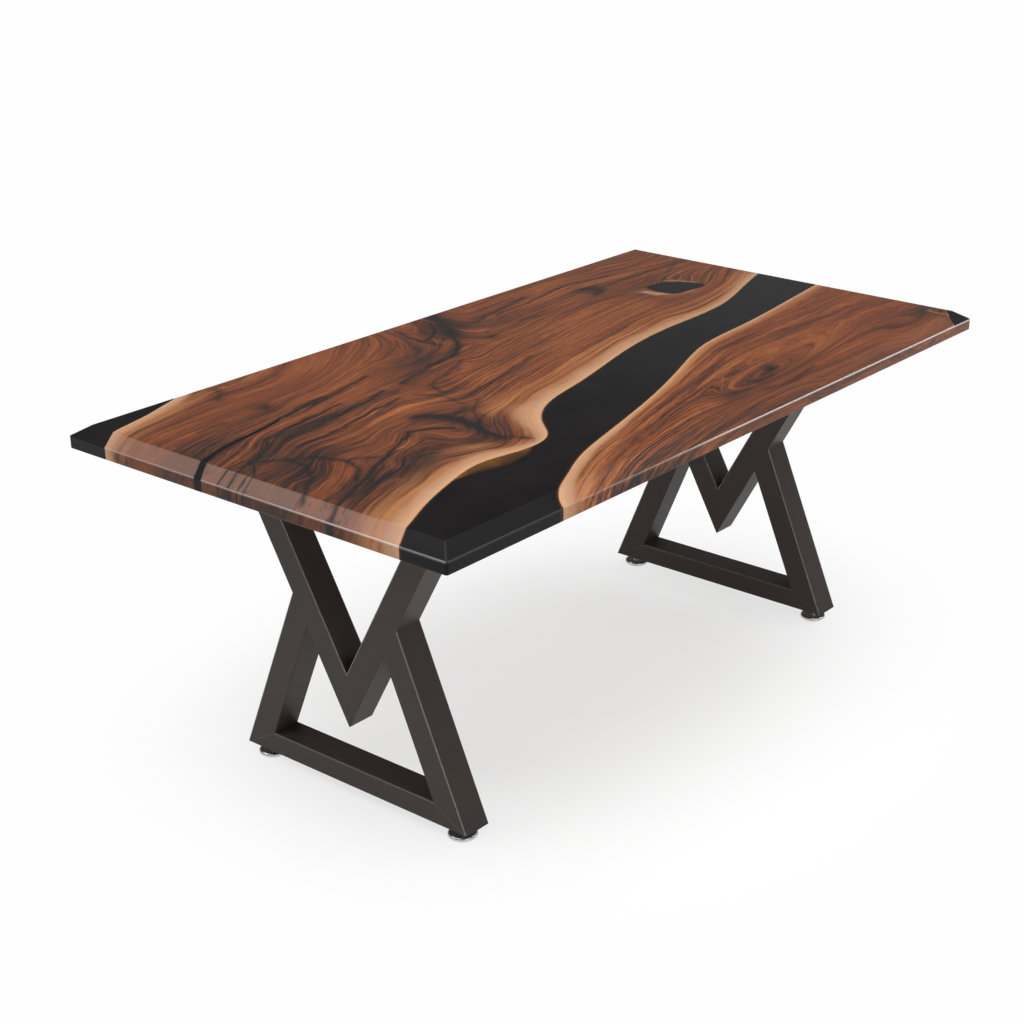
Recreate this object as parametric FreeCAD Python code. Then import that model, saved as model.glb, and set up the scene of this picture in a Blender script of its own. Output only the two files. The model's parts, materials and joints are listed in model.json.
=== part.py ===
import FreeCAD, Part
import math
import os

# River table: two walnut slabs joined by dark cast resin, on two welded steel legs with screw feet.
# Lengths are in millimetres. +Z is up and the origin lies on the floor under the middle of the top.
# +X runs along the table, -Y is its front long side, and the left leg is the one at -X.

# Table top
table_height = 750.0
top_length = 1800.0
top_width = 980.0
top_thickness = 45.0
bevel_width = 32.0
bevel_drop = 20.0
top_corner_radius = 5.0
bevel_corner_radius = 2.0
top_edge_round = 1.5

# Live edges: shares of the top's length and width from its middle, then the share of the lean there.
# Each bank runs past the top's sides, so that the cut is clean.
live_edge_lean = 26.0
main_bank_shares = [
    (-0.520, -0.405, 0.0),
    (-0.481, -0.377, 0.0),
    (-0.431, -0.334, 0.2),
    (-0.368, -0.292, 0.7),
    (-0.311, -0.270, 1.0),
    (-0.240, -0.287, 0.8),
    (-0.206, -0.273, 0.5),
    (-0.176, -0.217, 0.3),
    (-0.123, -0.150, 0.3),
    (-0.050, -0.117, 0.4),
    (0.071, -0.061, 0.4),
    (0.184, -0.027, 0.4),
    (0.322, -0.011, 0.3),
    (0.408, 0.035, 0.2),
    (0.473, 0.073, 0.0),
    (0.520, 0.096, 0.0),
]
narrow_bank_shares = [
    (-0.333, -0.520, 0.0),
    (-0.330, -0.490, 0.0),
    (-0.319, -0.470, 0.1),
    (-0.285, -0.437, 0.3),
    (-0.241, -0.398, 0.4),
    (-0.170, -0.357, 0.4),
    (-0.112, -0.329, 0.4),
    (-0.038, -0.291, 0.4),
    (0.080, -0.216, 0.4),
    (0.168, -0.163, 0.4),
    (0.250, -0.147, 0.4),
    (0.400, -0.113, 0.2),
    (0.473, -0.094, 0.0),
    (0.520, -0.082, 0.0),
]

# Other resin fills, in the same shares
corner_bank_shares = [
    (-0.520, 0.378),
    (-0.499, 0.391),
    (-0.475, 0.406),
    (-0.424, 0.430),
    (-0.390, 0.452),
    (-0.362, 0.474),
    (-0.340, 0.520),
]
small_corner_bank_shares = [
    (0.458, -0.520),
    (0.460, -0.492),
    (0.470, -0.468),
    (0.487, -0.450),
    (0.520, -0.444),
]
knot_rim_shares = [
    (0.335, 0.223),
    (0.366, 0.208),
    (0.386, 0.162),
    (0.390, 0.126),
    (0.354, 0.121),
    (0.325, 0.134),
    (0.321, 0.180),
]
knot_depth = 22.0
crack_width = 16.0
crack_path_shares = [
    (-0.520, 0.108, 1.4),
    (-0.500, 0.122, 1.2),
    (-0.482, 0.139, 0.9),
    (-0.461, 0.155, 0.7),
    (-0.428, 0.172, 0.6),
    (-0.388, 0.184, 0.5),
    (-0.342, 0.206, 0.3),
]

# Steel legs
leg_setback = 230.0
tube_depth = 66.0
tube_wall = 3.0
tube_edge_chamfer = 1.2
floor_bar_length = 612.0
floor_bar_height = 46.0
post_width = 59.0
post_lean_degrees = 23.0
arm_width = 57.0
arm_lean_degrees = 29.0
arm_tip_height = 161.0

# Top plate of each leg and its screws
plate_length = 640.0
plate_width = 136.0
plate_thickness = 6.0
plate_corner_radius = 10.0
bolt_row_spacing = 98.0
inner_bolt_spacing = 120.0
outer_bolt_spacing = 500.0
bolt_diameter = 8.0
bolt_length = 22.0
bolt_head_width = 13.0
bolt_head_height = 5.3
slot_length = 20.0
slot_clearance = 0.5
washer_diameter = 24.0
washer_thickness = 2.0
washer_clearance = 0.2
insert_diameter = 12.0
insert_length = 16.0
insert_end_gap = 2.0
thread_clearance = 0.05

# Screw feet
foot_gap = 26.0
foot_inset = 39.0
pad_diameter = 60.0
pad_height = 10.0
pad_rim_radius = 5.0
pad_foot_round = 1.0
hub_diameter = 24.0
hub_height = 4.0
glide_diameter = 54.0
glide_thickness = 3.5
glide_proud = 2.0
glide_edge_round = 0.8
glide_clearance = 0.05
pivot_diameter = 8.0
pivot_length = 7.5
pivot_end_gap = 0.5
collar_width = 17.0
collar_height = 6.0
stud_diameter = 10.0
stud_length = 42.0
stud_tip_chamfer = 1.0
stud_hole_clearance = 1.0
nut_width = 17.0
nut_height = 8.0

# How far a cut runs past the faces that it opens
overrun = 10.0

# Heights and places worked out from the sizes above
underside = table_height - top_thickness
ridge_height = table_height - bevel_drop
leg_place = top_length / 2 - leg_setback - tube_depth / 2
bar_half = floor_bar_length / 2
bar_top = foot_gap + floor_bar_height
arm_top = underside - plate_thickness
foot_place = bar_half - foot_inset
hub_top = pad_height + hub_height
collar_top = hub_top + collar_height
post_lean = math.radians(post_lean_degrees)
arm_lean = math.radians(arm_lean_degrees)
post_slope = math.tan(post_lean)
arm_slope = math.tan(arm_lean)


def vector(x, y, z):
    return FreeCAD.Vector(x, y, z)


def line(start, end):
    return Part.LineSegment(start, end).toShape()


def spline(points, paces=None):
    """Smooth run of edges, one from each point to the next, at these paces or at the points' own."""
    paces = paces or walked(points)
    curve = Part.BSplineCurve()
    curve.interpolate(Points=points, Parameters=paces)
    edges = []
    for start, end in zip(paces, paces[1:]):
        stretch = curve.copy()
        stretch.segment(start, end)
        edges.append(stretch.toShape())
    return edges


def walked(points):
    """Distance walked along the points, at each of them."""
    paces = [0.0]
    for start, end in zip(points, points[1:]):
        paces.append(paces[-1] + start.distanceToPoint(end))
    return paces


def cylinder(radius, low, high, x=0.0, y=0.0):
    return Part.makeCylinder(radius, high - low, vector(x, y, low), vector(0, 0, 1))


def hexagon(width, low, high):
    """Hexagonal prism round the Z axis, with its width across the flats."""
    radius = width / math.sqrt(3)
    turns = [math.radians(60 * step) for step in range(7)]
    corners = [vector(radius * math.cos(turn), radius * math.sin(turn), low) for turn in turns]
    return Part.Face(Part.makePolygon(corners)).extrude(vector(0, 0, high - low))


def turned(edges):
    """Solid turned round the Z axis from a closed profile in the XZ plane."""
    profile = Part.Face(Part.Wire(edges))
    return profile.revolve(vector(0, 0, 0), vector(0, 0, 1), 360)


def polygon_edges(points):
    """Closed run of straight edges through points given as radius and height."""
    corners = [vector(radius, 0, height) for radius, height in points]
    return [line(start, end) for start, end in zip(corners, corners[1:] + corners[:1])]


def cross_section(points, depth):
    """Prism along X, centred on x = 0, from an outline given as y and z."""
    corners = [vector(-depth / 2, y, z) for y, z in points]
    outline = Part.makePolygon(corners + corners[:1])
    return Part.Face(outline).extrude(vector(depth, 0, 0))


# Table top

def rounded_rectangle(length, width, radius, height):
    """Rectangle round the Z axis, with round corners."""
    x = length / 2
    y = width / 2
    inset = radius * (1 - math.sqrt(0.5))
    edges = []
    for sx, sy in ((1, 1), (-1, 1), (-1, -1), (1, -1)):
        before = vector(sx * x, sy * (y - radius), height)
        middle = vector(sx * (x - inset), sy * (y - inset), height)
        after = vector(sx * (x - radius), sy * y, height)
        ends = (before, after) if sx * sy > 0 else (after, before)
        edges.append((ends[0], middle, ends[1]))
    shape = []
    for index, (start, middle, end) in enumerate(edges):
        shape.append(Part.Arc(start, middle, end).toShape())
        shape.append(line(end, edges[(index + 1) % len(edges)][0]))
    return Part.Wire(shape)


def whole_top():
    """The finished top before it is parted into wood and resin: a slab with a wide bevel all round."""
    rim = rounded_rectangle(top_length, top_width, top_corner_radius, underside)
    slab = Part.Face(rim).extrude(vector(0, 0, ridge_height - underside))
    ridge = rounded_rectangle(top_length, top_width, top_corner_radius, ridge_height)
    face_length = top_length - 2 * bevel_width
    face_width = top_width - 2 * bevel_width
    face = rounded_rectangle(face_length, face_width, bevel_corner_radius, table_height)
    bevel = Part.makeLoft([ridge, face], True, True)
    top = slab.fuse(bevel).removeSplitter()
    edges = [edge for edge in top.Edges if is_level(edge, underside) or is_level(edge, ridge_height)]
    return top.makeFillet(top_edge_round, edges)


def is_level(edge, height):
    """True for an edge that lies at this height."""
    box = edge.BoundBox
    return abs(box.ZMin - height) < top_edge_round / 2 and abs(box.ZMax - height) < top_edge_round / 2


def bank(shares, height, lean_side):
    """Live edge at a height: it leans out from its line on the top face towards the underside."""
    fall = (table_height - height) / top_thickness
    lean = lean_side * live_edge_lean * fall
    return [vector(x * top_length, y * top_width + lean * amount, height) for x, y, amount in shares]


def river_outline(height):
    """Closed outline of the resin river at a height, with the left front corner inside it."""
    main_bank = bank(main_bank_shares, height, -1)
    narrow_bank = bank(narrow_bank_shares[::-1], height, 1)
    main_paces = walked(bank(main_bank_shares, table_height, -1))
    narrow_paces = walked(bank(narrow_bank_shares[::-1], table_height, 1))
    corner = vector(main_bank[0].x, narrow_bank[-1].y, height)
    edges = spline(main_bank, main_paces) + [line(main_bank[-1], narrow_bank[0])]
    edges += spline(narrow_bank, narrow_paces) + [line(narrow_bank[-1], corner), line(corner, main_bank[0])]
    return Part.Wire(edges)


def river_block():
    outlines = [river_outline(table_height + overrun), river_outline(underside - overrun)]
    return Part.makeLoft(outlines, True, True)


def share_points(shares, height):
    return [vector(x * top_length, y * top_width, height) for x, y in shares]


def corner_block(shares, low):
    """Resin that fills a corner: beyond one live edge, down to a height."""
    edge = share_points(shares, low)
    ends = sorted((edge[0], edge[-1]), key=lambda point: abs(point.y))
    corner = vector(ends[0].x, ends[1].y, low)
    outline = Part.Wire(spline(edge) + [line(edge[-1], corner), line(corner, edge[0])])
    return Part.Face(outline).extrude(vector(0, 0, table_height + overrun - low))


def knot_block():
    curve = Part.BSplineCurve()
    curve.interpolate(share_points(knot_rim_shares, table_height - knot_depth), PeriodicFlag=True)
    return Part.Face(Part.Wire([curve.toShape()])).extrude(vector(0, 0, knot_depth + overrun))


def crack_block():
    """Crack from the left end that resin has filled: it narrows as it runs in."""
    low = underside - overrun
    sides = []
    for side in (-1, 1):
        points = [vector(x * top_length, y * top_width + side * crack_width / 2 * share, low)
                  for x, y, share in crack_path_shares]
        sides.append(points)
    front, rear = sides
    outline = spline(front) + [line(front[-1], rear[-1])] + spline(rear[::-1]) + [line(rear[0], front[0])]
    return Part.Face(Part.Wire(outline)).extrude(vector(0, 0, table_height + overrun - low))


def bolt_places():
    """Places of one leg's bolts, from the leg's middle."""
    rows = [-bolt_row_spacing / 2, bolt_row_spacing / 2]
    spans = [-outer_bolt_spacing / 2, -inner_bolt_spacing / 2, inner_bolt_spacing / 2, outer_bolt_spacing / 2]
    return [(x, y) for x in rows for y in spans]


def insert_holes():
    radius = insert_diameter / 2 + thread_clearance
    depth = insert_length + insert_end_gap
    holes = []
    for leg_x in (-leg_place, leg_place):
        for x, y in bolt_places():
            holes.append(cylinder(radius, underside - overrun, underside + depth, leg_x + x, y))
    return holes


def top_pieces():
    """Wood and resin of the top, by name."""
    top = whole_top().cut(insert_holes())
    river = river_block()
    rear_corner = corner_block(corner_bank_shares, underside - overrun)
    front_corner = corner_block(small_corner_bank_shares, ridge_height)
    knot = knot_block()
    crack = crack_block()
    wood = top.cut([river, rear_corner, front_corner, knot, crack]).Solids
    wood = sorted(wood, key=lambda solid: solid.Volume)
    return {
        "main_walnut_slab": wood[-1],
        "narrow_walnut_slab": wood[-2],
        "river_resin": top.common(river),
        "left_rear_corner_resin": top.common(rear_corner),
        "right_front_corner_resin": top.common(front_corner),
        "knot_resin": top.common(knot),
        "crack_resin": top.common(crack),
    }


# Steel legs

def meeting(base, height):
    """Where a post's side, which starts at (base, height), meets the arm's lower face."""
    y = (base - post_slope * (arm_tip_height - height)) / (1 + post_slope / arm_slope)
    return y, arm_tip_height + y / arm_slope


def tube_core(start, heading, width, length):
    """Hollow of a tube that lies to the left of its heading from the start, run past both its ends."""
    along = (math.cos(heading), math.sin(heading))
    across = (-math.sin(heading), math.cos(heading))
    reach = width + overrun
    sides = (tube_wall, width - tube_wall)
    travels = (-reach, length + reach)
    places = [(sides[0], travels[0]), (sides[1], travels[0]), (sides[1], travels[1]), (sides[0], travels[1])]
    return [(start[0] + across[0] * side + along[0] * travel, start[1] + across[1] * side + along[1] * travel)
            for side, travel in places]


def leg_outlines():
    """Outline and hollow of each tube of the rear half of a leg, and of the floor bar."""
    post_span = post_width / math.cos(post_lean)
    arm_rise = arm_width / math.sin(arm_lean)
    foot_corner = (bar_half, foot_gap)
    inner_corner = (bar_half - post_span - post_slope * floor_bar_height, bar_top)
    waist = meeting(bar_half, foot_gap)
    crotch = meeting(bar_half - post_span, foot_gap)
    arm_tip = (0.0, arm_tip_height)
    arm_notch = (0.0, arm_tip_height + arm_rise)
    arm_outer = ((arm_top - arm_tip_height) * arm_slope, arm_top)
    arm_inner = ((arm_top - arm_tip_height - arm_rise) * arm_slope, arm_top)
    bar_outline = [foot_corner, inner_corner] + mirrored([inner_corner, foot_corner])
    bar_core = tube_core(mirrored([foot_corner])[0], 0.0, floor_bar_height, floor_bar_length)
    post_core = tube_core(foot_corner, math.pi / 2 + post_lean, post_width, math.dist(foot_corner, waist))
    arm_core = tube_core(arm_tip, math.pi / 2 - arm_lean, arm_width, math.dist(arm_tip, arm_outer))
    return {
        "floor_bar": (bar_outline, bar_core),
        "rear_post": ([foot_corner, waist, crotch, inner_corner], post_core),
        "rear_arm": ([arm_tip, arm_outer, arm_inner, arm_notch], arm_core),
    }


def mirrored(points):
    return [(-y, z) for y, z in points]


def leg_tubes():
    """The five tubes of a leg round x = 0: welded flush, with their free edges eased."""
    outlines = leg_outlines()
    for rear in ("rear_post", "rear_arm"):
        outline, core = outlines[rear]
        outlines[rear.replace("rear", "front")] = (mirrored(outline), mirrored(core))
    blocks = {name: cross_section(outline, tube_depth) for name, (outline, core) in outlines.items()}
    joined = list(blocks.values())
    frame = joined[0].fuse(joined[1:]).removeSplitter()
    edges = [edge for edge in frame.Edges if edge.BoundBox.XLength < tube_wall and not tops_out(edge)]
    frame = frame.makeChamfer(tube_edge_chamfer, edges)
    tubes = {}
    for name, (outline, core) in outlines.items():
        hollow = cross_section(core, tube_depth - 2 * tube_wall)
        tubes[name] = frame.common(blocks[name]).cut(hollow)
    tubes["floor_bar"] = tubes["floor_bar"].cut([stud_hole(-foot_place), stud_hole(foot_place)])
    return tubes


def stud_hole(y):
    """Hole for a foot's stud through the floor bar's lower wall."""
    radius = stud_diameter / 2 + stud_hole_clearance
    return cylinder(radius, foot_gap - overrun, foot_gap + tube_wall + overrun, 0.0, y)


def tops_out(edge):
    """True for an edge at the arms' upper ends, under the top plate."""
    return edge.BoundBox.ZMin > arm_top - tube_wall


def top_plate():
    """Flat plate on the arms, slotted across the grain so that the wood can move."""
    low = vector(-plate_width / 2, -plate_length / 2, arm_top)
    plate = Part.makeBox(plate_width, plate_length, plate_thickness, low)
    corners = [edge for edge in plate.Edges if edge.BoundBox.ZLength > plate_thickness / 2]
    plate = plate.makeFillet(plate_corner_radius, corners)
    return plate.cut([slot(x, y) for x, y in bolt_places()])


def slot(x, y):
    """Round-ended slot through the plate, along Y."""
    radius = bolt_diameter / 2 + slot_clearance
    half = slot_length / 2 - radius
    low = arm_top - overrun
    high = underside + overrun
    middle = Part.makeBox(2 * radius, 2 * half, high - low, vector(x - radius, y - half, low))
    ends = [cylinder(radius, low, high, x, y + side * half) for side in (-1, 1)]
    return middle.fuse(ends)


def bolt():
    head_top = arm_top - washer_thickness
    head = hexagon(bolt_head_width, head_top - bolt_head_height, head_top)
    return head.fuse(cylinder(bolt_diameter / 2, head_top, head_top + bolt_length)).removeSplitter()


def washer():
    disc = cylinder(washer_diameter / 2, arm_top - washer_thickness, arm_top)
    hole = bolt_diameter / 2 + washer_clearance
    return disc.cut(cylinder(hole, arm_top - washer_thickness - overrun, arm_top + overrun))


def threaded_insert():
    sleeve = cylinder(insert_diameter / 2, underside, underside + insert_length)
    bore = bolt_diameter / 2 + thread_clearance
    return sleeve.cut(cylinder(bore, underside - overrun, underside + insert_length + overrun))


def foot_nut():
    low = foot_gap + tube_wall
    bore = stud_diameter / 2 + thread_clearance
    high = low + nut_height
    return hexagon(nut_width, low, high).cut(cylinder(bore, low - overrun, high + overrun))


def placed(shape, x, y):
    copy = shape.copy()
    copy.translate(vector(x, y, 0))
    return copy


def group(shape, places):
    """Like pieces as one node, each its own solid."""
    return Part.makeCompound([placed(shape, x, y) for x, y in places])


def leg_pieces(side, leg_x):
    """Everything that belongs to one leg, by name."""
    bolts = [(leg_x + x, y) for x, y in bolt_places()]
    nuts = [(leg_x, -foot_place), (leg_x, foot_place)]
    pieces = {f"{side}_leg_{name}": placed(tube, leg_x, 0) for name, tube in leg_tubes().items()}
    pieces[f"{side}_leg_top_plate"] = placed(top_plate(), leg_x, 0)
    pieces[f"{side}_leg_bolts"] = group(bolt(), bolts)
    pieces[f"{side}_leg_washers"] = group(washer(), bolts)
    pieces[f"{side}_leg_threaded_inserts"] = group(threaded_insert(), bolts)
    pieces[f"{side}_leg_foot_nuts"] = group(foot_nut(), nuts)
    return pieces


# Screw feet

def foot_pad():
    """Turned pad with a rounded rim, a hub for the stud and a recess for the glide."""
    rim = pad_diameter / 2
    recess = glide_diameter / 2 + glide_clearance
    recess_top = glide_thickness
    bore = pivot_diameter / 2 + thread_clearance
    bore_floor = hub_top - pivot_length - pivot_end_gap
    rim_top = pad_height - pad_rim_radius
    ease = pad_foot_round
    lean = math.sqrt(0.5)
    points = [(0, recess_top), (recess, recess_top), (recess, glide_proud), (rim - ease, glide_proud)]
    points += [(rim, glide_proud + ease), (rim, rim_top)]
    edges = polygon_edges(points)[:-1]
    crown = rim - pad_rim_radius
    bulge = vector(crown + pad_rim_radius * lean, 0, rim_top + pad_rim_radius * lean)
    edges.append(Part.Arc(vector(rim, 0, rim_top), bulge, vector(crown, 0, pad_height)).toShape())
    hub = hub_diameter / 2
    upper = [(crown, pad_height), (hub, pad_height), (hub, hub_top), (bore, hub_top)]
    upper += [(bore, bore_floor), (0, bore_floor), (0, recess_top)]
    edges += polygon_edges(upper)[:-1]
    return turned(edges)


def foot_glide():
    """Dark disc under the pad that meets the floor."""
    radius = glide_diameter / 2
    ease = glide_edge_round
    points = [(0, 0), (radius - ease, 0), (radius, ease), (radius, glide_thickness), (0, glide_thickness)]
    return turned(polygon_edges(points))


def foot_stud():
    """Stud that turns in the pad, with a collar for a spanner and a plain shank for its thread."""
    pivot = cylinder(pivot_diameter / 2, hub_top - pivot_length, hub_top)
    collar = hexagon(collar_width, hub_top, collar_top)
    radius = stud_diameter / 2
    tip = collar_top + stud_length
    ease = stud_tip_chamfer
    points = [(0, collar_top), (radius, collar_top), (radius, tip - ease), (radius - ease, tip), (0, tip)]
    shank = turned(polygon_edges(points))
    return pivot.fuse([collar, shank]).removeSplitter()


def foot_pieces(side, leg_x, end, y):
    return {
        f"{side}_{end}_foot_pad": placed(foot_pad(), leg_x, y),
        f"{side}_{end}_foot_glide": placed(foot_glide(), leg_x, y),
        f"{side}_{end}_foot_stud": placed(foot_stud(), leg_x, y),
    }


def table():
    """Every piece of the table, by name."""
    pieces = top_pieces()
    for side, leg_x in (("left", -leg_place), ("right", leg_place)):
        pieces.update(leg_pieces(side, leg_x))
        for end, y in (("front", -foot_place), ("rear", foot_place)):
            pieces.update(foot_pieces(side, leg_x, end, y))
    return pieces


os.makedirs("parts", exist_ok=True)
for name, shape in table().items():
    if not shape.isValid() or not shape.Solids:
        raise ValueError(f"{name} is not a sound solid")
    shape.exportStep(f"parts/{name}.step")
    print(name, len(shape.Solids), round(shape.Volume))
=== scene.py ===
import json
import math

import bpy
import numpy as np
from bpy.props import FloatProperty, FloatVectorProperty, PointerProperty
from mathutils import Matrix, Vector

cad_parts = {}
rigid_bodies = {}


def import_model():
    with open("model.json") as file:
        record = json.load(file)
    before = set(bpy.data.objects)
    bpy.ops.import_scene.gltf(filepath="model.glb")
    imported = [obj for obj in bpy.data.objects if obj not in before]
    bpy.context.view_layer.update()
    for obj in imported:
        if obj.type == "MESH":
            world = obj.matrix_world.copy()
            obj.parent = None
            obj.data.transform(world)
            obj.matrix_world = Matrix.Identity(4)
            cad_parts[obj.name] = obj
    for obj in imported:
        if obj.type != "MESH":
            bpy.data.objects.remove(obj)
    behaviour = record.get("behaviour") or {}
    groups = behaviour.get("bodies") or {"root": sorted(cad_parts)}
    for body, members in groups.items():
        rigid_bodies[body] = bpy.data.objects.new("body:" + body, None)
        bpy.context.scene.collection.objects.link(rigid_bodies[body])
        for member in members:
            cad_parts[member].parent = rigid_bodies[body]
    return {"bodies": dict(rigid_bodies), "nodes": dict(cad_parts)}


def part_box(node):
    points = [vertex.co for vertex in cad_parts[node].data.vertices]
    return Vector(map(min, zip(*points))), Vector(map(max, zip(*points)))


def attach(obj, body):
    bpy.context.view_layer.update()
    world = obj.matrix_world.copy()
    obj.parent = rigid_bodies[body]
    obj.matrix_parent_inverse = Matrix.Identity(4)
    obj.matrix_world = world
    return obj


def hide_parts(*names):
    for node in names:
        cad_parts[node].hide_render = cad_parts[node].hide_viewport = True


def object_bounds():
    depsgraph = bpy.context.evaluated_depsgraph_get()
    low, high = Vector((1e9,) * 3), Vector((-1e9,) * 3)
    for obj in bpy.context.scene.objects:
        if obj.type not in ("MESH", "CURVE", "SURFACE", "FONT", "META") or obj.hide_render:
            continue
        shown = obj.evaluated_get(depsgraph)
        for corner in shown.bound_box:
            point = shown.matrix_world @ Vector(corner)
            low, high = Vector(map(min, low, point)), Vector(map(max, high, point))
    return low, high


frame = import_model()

bl_info = {
    "name": "River Dining Table",
    "version": (1, 0, 0),
    "blender": (4, 5, 0),
    "location": "View3D > Sidebar > River Table",
    "description": "Dresses the packed river table: walnut slabs, cast resin, steel legs and screw feet",
    "category": "Object",
}

# Objects of Blender's start-up file go, so that the box taken here is the CAD model's own.
for stray in [item for item in bpy.data.objects if item.name not in frame["nodes"]
              and item not in frame["bodies"].values()]:
    bpy.data.objects.remove(stray)
bpy.context.view_layer.update()
CAD_BOX = [list(corner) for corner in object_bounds()]
SLAB_LOW, SLAB_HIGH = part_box("main_walnut_slab")
TABLE_BODY = "table"
SIDES = ("left", "right")
ENDS = ("front", "rear")
MM = 0.001

# Live edges, as shares of the top's length and width from its middle, and the share of the lean there.
MAIN_BANK_SHARES = np.array([
    (-0.520, -0.405, 0.0), (-0.481, -0.377, 0.0), (-0.431, -0.334, 0.2), (-0.368, -0.292, 0.7),
    (-0.311, -0.270, 1.0), (-0.240, -0.287, 0.8), (-0.206, -0.273, 0.5), (-0.176, -0.217, 0.3),
    (-0.123, -0.150, 0.3), (-0.050, -0.117, 0.4), (0.071, -0.061, 0.4), (0.184, -0.027, 0.4),
    (0.322, -0.011, 0.3), (0.408, 0.035, 0.2), (0.473, 0.073, 0.0), (0.520, 0.096, 0.0)])
NARROW_BANK_SHARES = np.array([
    (-0.333, -0.520, 0.0), (-0.330, -0.490, 0.0), (-0.319, -0.470, 0.1), (-0.285, -0.437, 0.3),
    (-0.241, -0.398, 0.4), (-0.170, -0.357, 0.4), (-0.112, -0.329, 0.4), (-0.038, -0.291, 0.4),
    (0.080, -0.216, 0.4), (0.168, -0.163, 0.4), (0.250, -0.147, 0.4), (0.400, -0.113, 0.2),
    (0.473, -0.094, 0.0), (0.520, -0.082, 0.0)])
CORNER_BANK_SHARES = np.array([
    (-0.520, 0.378, 0.0), (-0.499, 0.391, 0.0), (-0.475, 0.406, 0.0), (-0.424, 0.430, 0.0),
    (-0.390, 0.452, 0.0), (-0.362, 0.474, 0.0), (-0.340, 0.520, 0.0)])

# Rows close to a bevelled edge, as distances from it
EDGE_ROWS = np.array([0, 0.03, 0.1, 0.22, 0.4, 0.7, 1.3, 2.2, 3.2, 4.5, 6.5, 9, 12, 15, 18, 21, 24, 27, 29,
                      30.2, 31.2, 32, 32.8, 34, 38]) * MM

# Light that the outer ridge catches: places along an end or a long side, then thousandths of the whole
END_SHINE = np.array([(-490, -300, 0, 490), (1000, 650, 350, 250)]) * MM
SIDE_SHINE = np.array([(-900, -600, -300, -100, 900), (220, 140, 220, 750, 1000)]) * MM

# Shelf of wood under the resin beside the main slab: places along the top, then widths
SHELF = np.array([(-660, -620, -570, -530, -470, -430), (0, 15.4, 37.4, 44, 26.4, 0)]) * MM

# Where effects start and end, in metres: the end bevels, the outer ridge's height, and the resin's painted
# reflection
END_BEVELS = (0.864, 0.876)
RIDGE_HEIGHTS = (0.727, 0.731)
RIGHT_END_SHEEN_REACH = (-0.6, 1.0)

# Strengths, as shares
END_CALM = 0.35
# Painted sheen on the bevels: its share, and its share on the front bevel at the right end
BEVEL_SHEEN_SHARE = 0.38
FRONT_SHEEN = 0.6
# Painted highlight along the outer ridge: its share on the wood and on the resin
WOOD_RIDGE_HIGHLIGHT = 0.85
RESIN_RIDGE_HIGHLIGHT = 0.6
MAIN_CONTRAST = 1.15
NARROW_CONTRAST = 0.75

# A vein fades out at this many half widths, and its mask is raised and then held below the limit.
VEIN_REACH = 3.4
VEIN_GAIN = 1.4
VEIN_LIMIT = 0.97

# Painted highlights on the legs' upward-facing rounded edges: the bevel radius and the highlight's colour
EDGE_HIGHLIGHT_RADIUS = 0.0024
EDGE_HIGHLIGHT_COLOUR = (0.75, 0.75, 0.75)

# Brightness of the studio by the sine of the height above the horizon
SKY = ((0.0, 0.60), (0.10, 0.40), (0.22, 0.11), (0.38, 0.045), (0.58, 0.06), (0.76, 1.10), (1.0, 1.15))

# Width of the pale sapwood along each live edge: places along the top, then widths, in millimetres
MAIN_SAP = np.array([
    (-900, 52), (-800, 46), (-700, 45), (-600, 43), (-550, 50), (-500, 48), (-450, 30), (-405, 15),
    (-380, 34), (-340, 64), (-300, 74), (-250, 58), (-200, 46), (-100, 40), (0, 43), (100, 37), (200, 41),
    (300, 34), (400, 34), (500, 26), (600, 24), (700, 27), (800, 31), (900, 33)]) * MM
NARROW_SAP = np.array([
    (-600, 44), (-550, 34), (-500, 26), (-400, 24), (-300, 22), (-200, 17), (-100, 14), (0, 12), (100, 13),
    (200, 11), (300, 12), (400, 12), (600, 13), (900, 13)]) * MM
CORNER_SAP = 30 * MM

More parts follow.
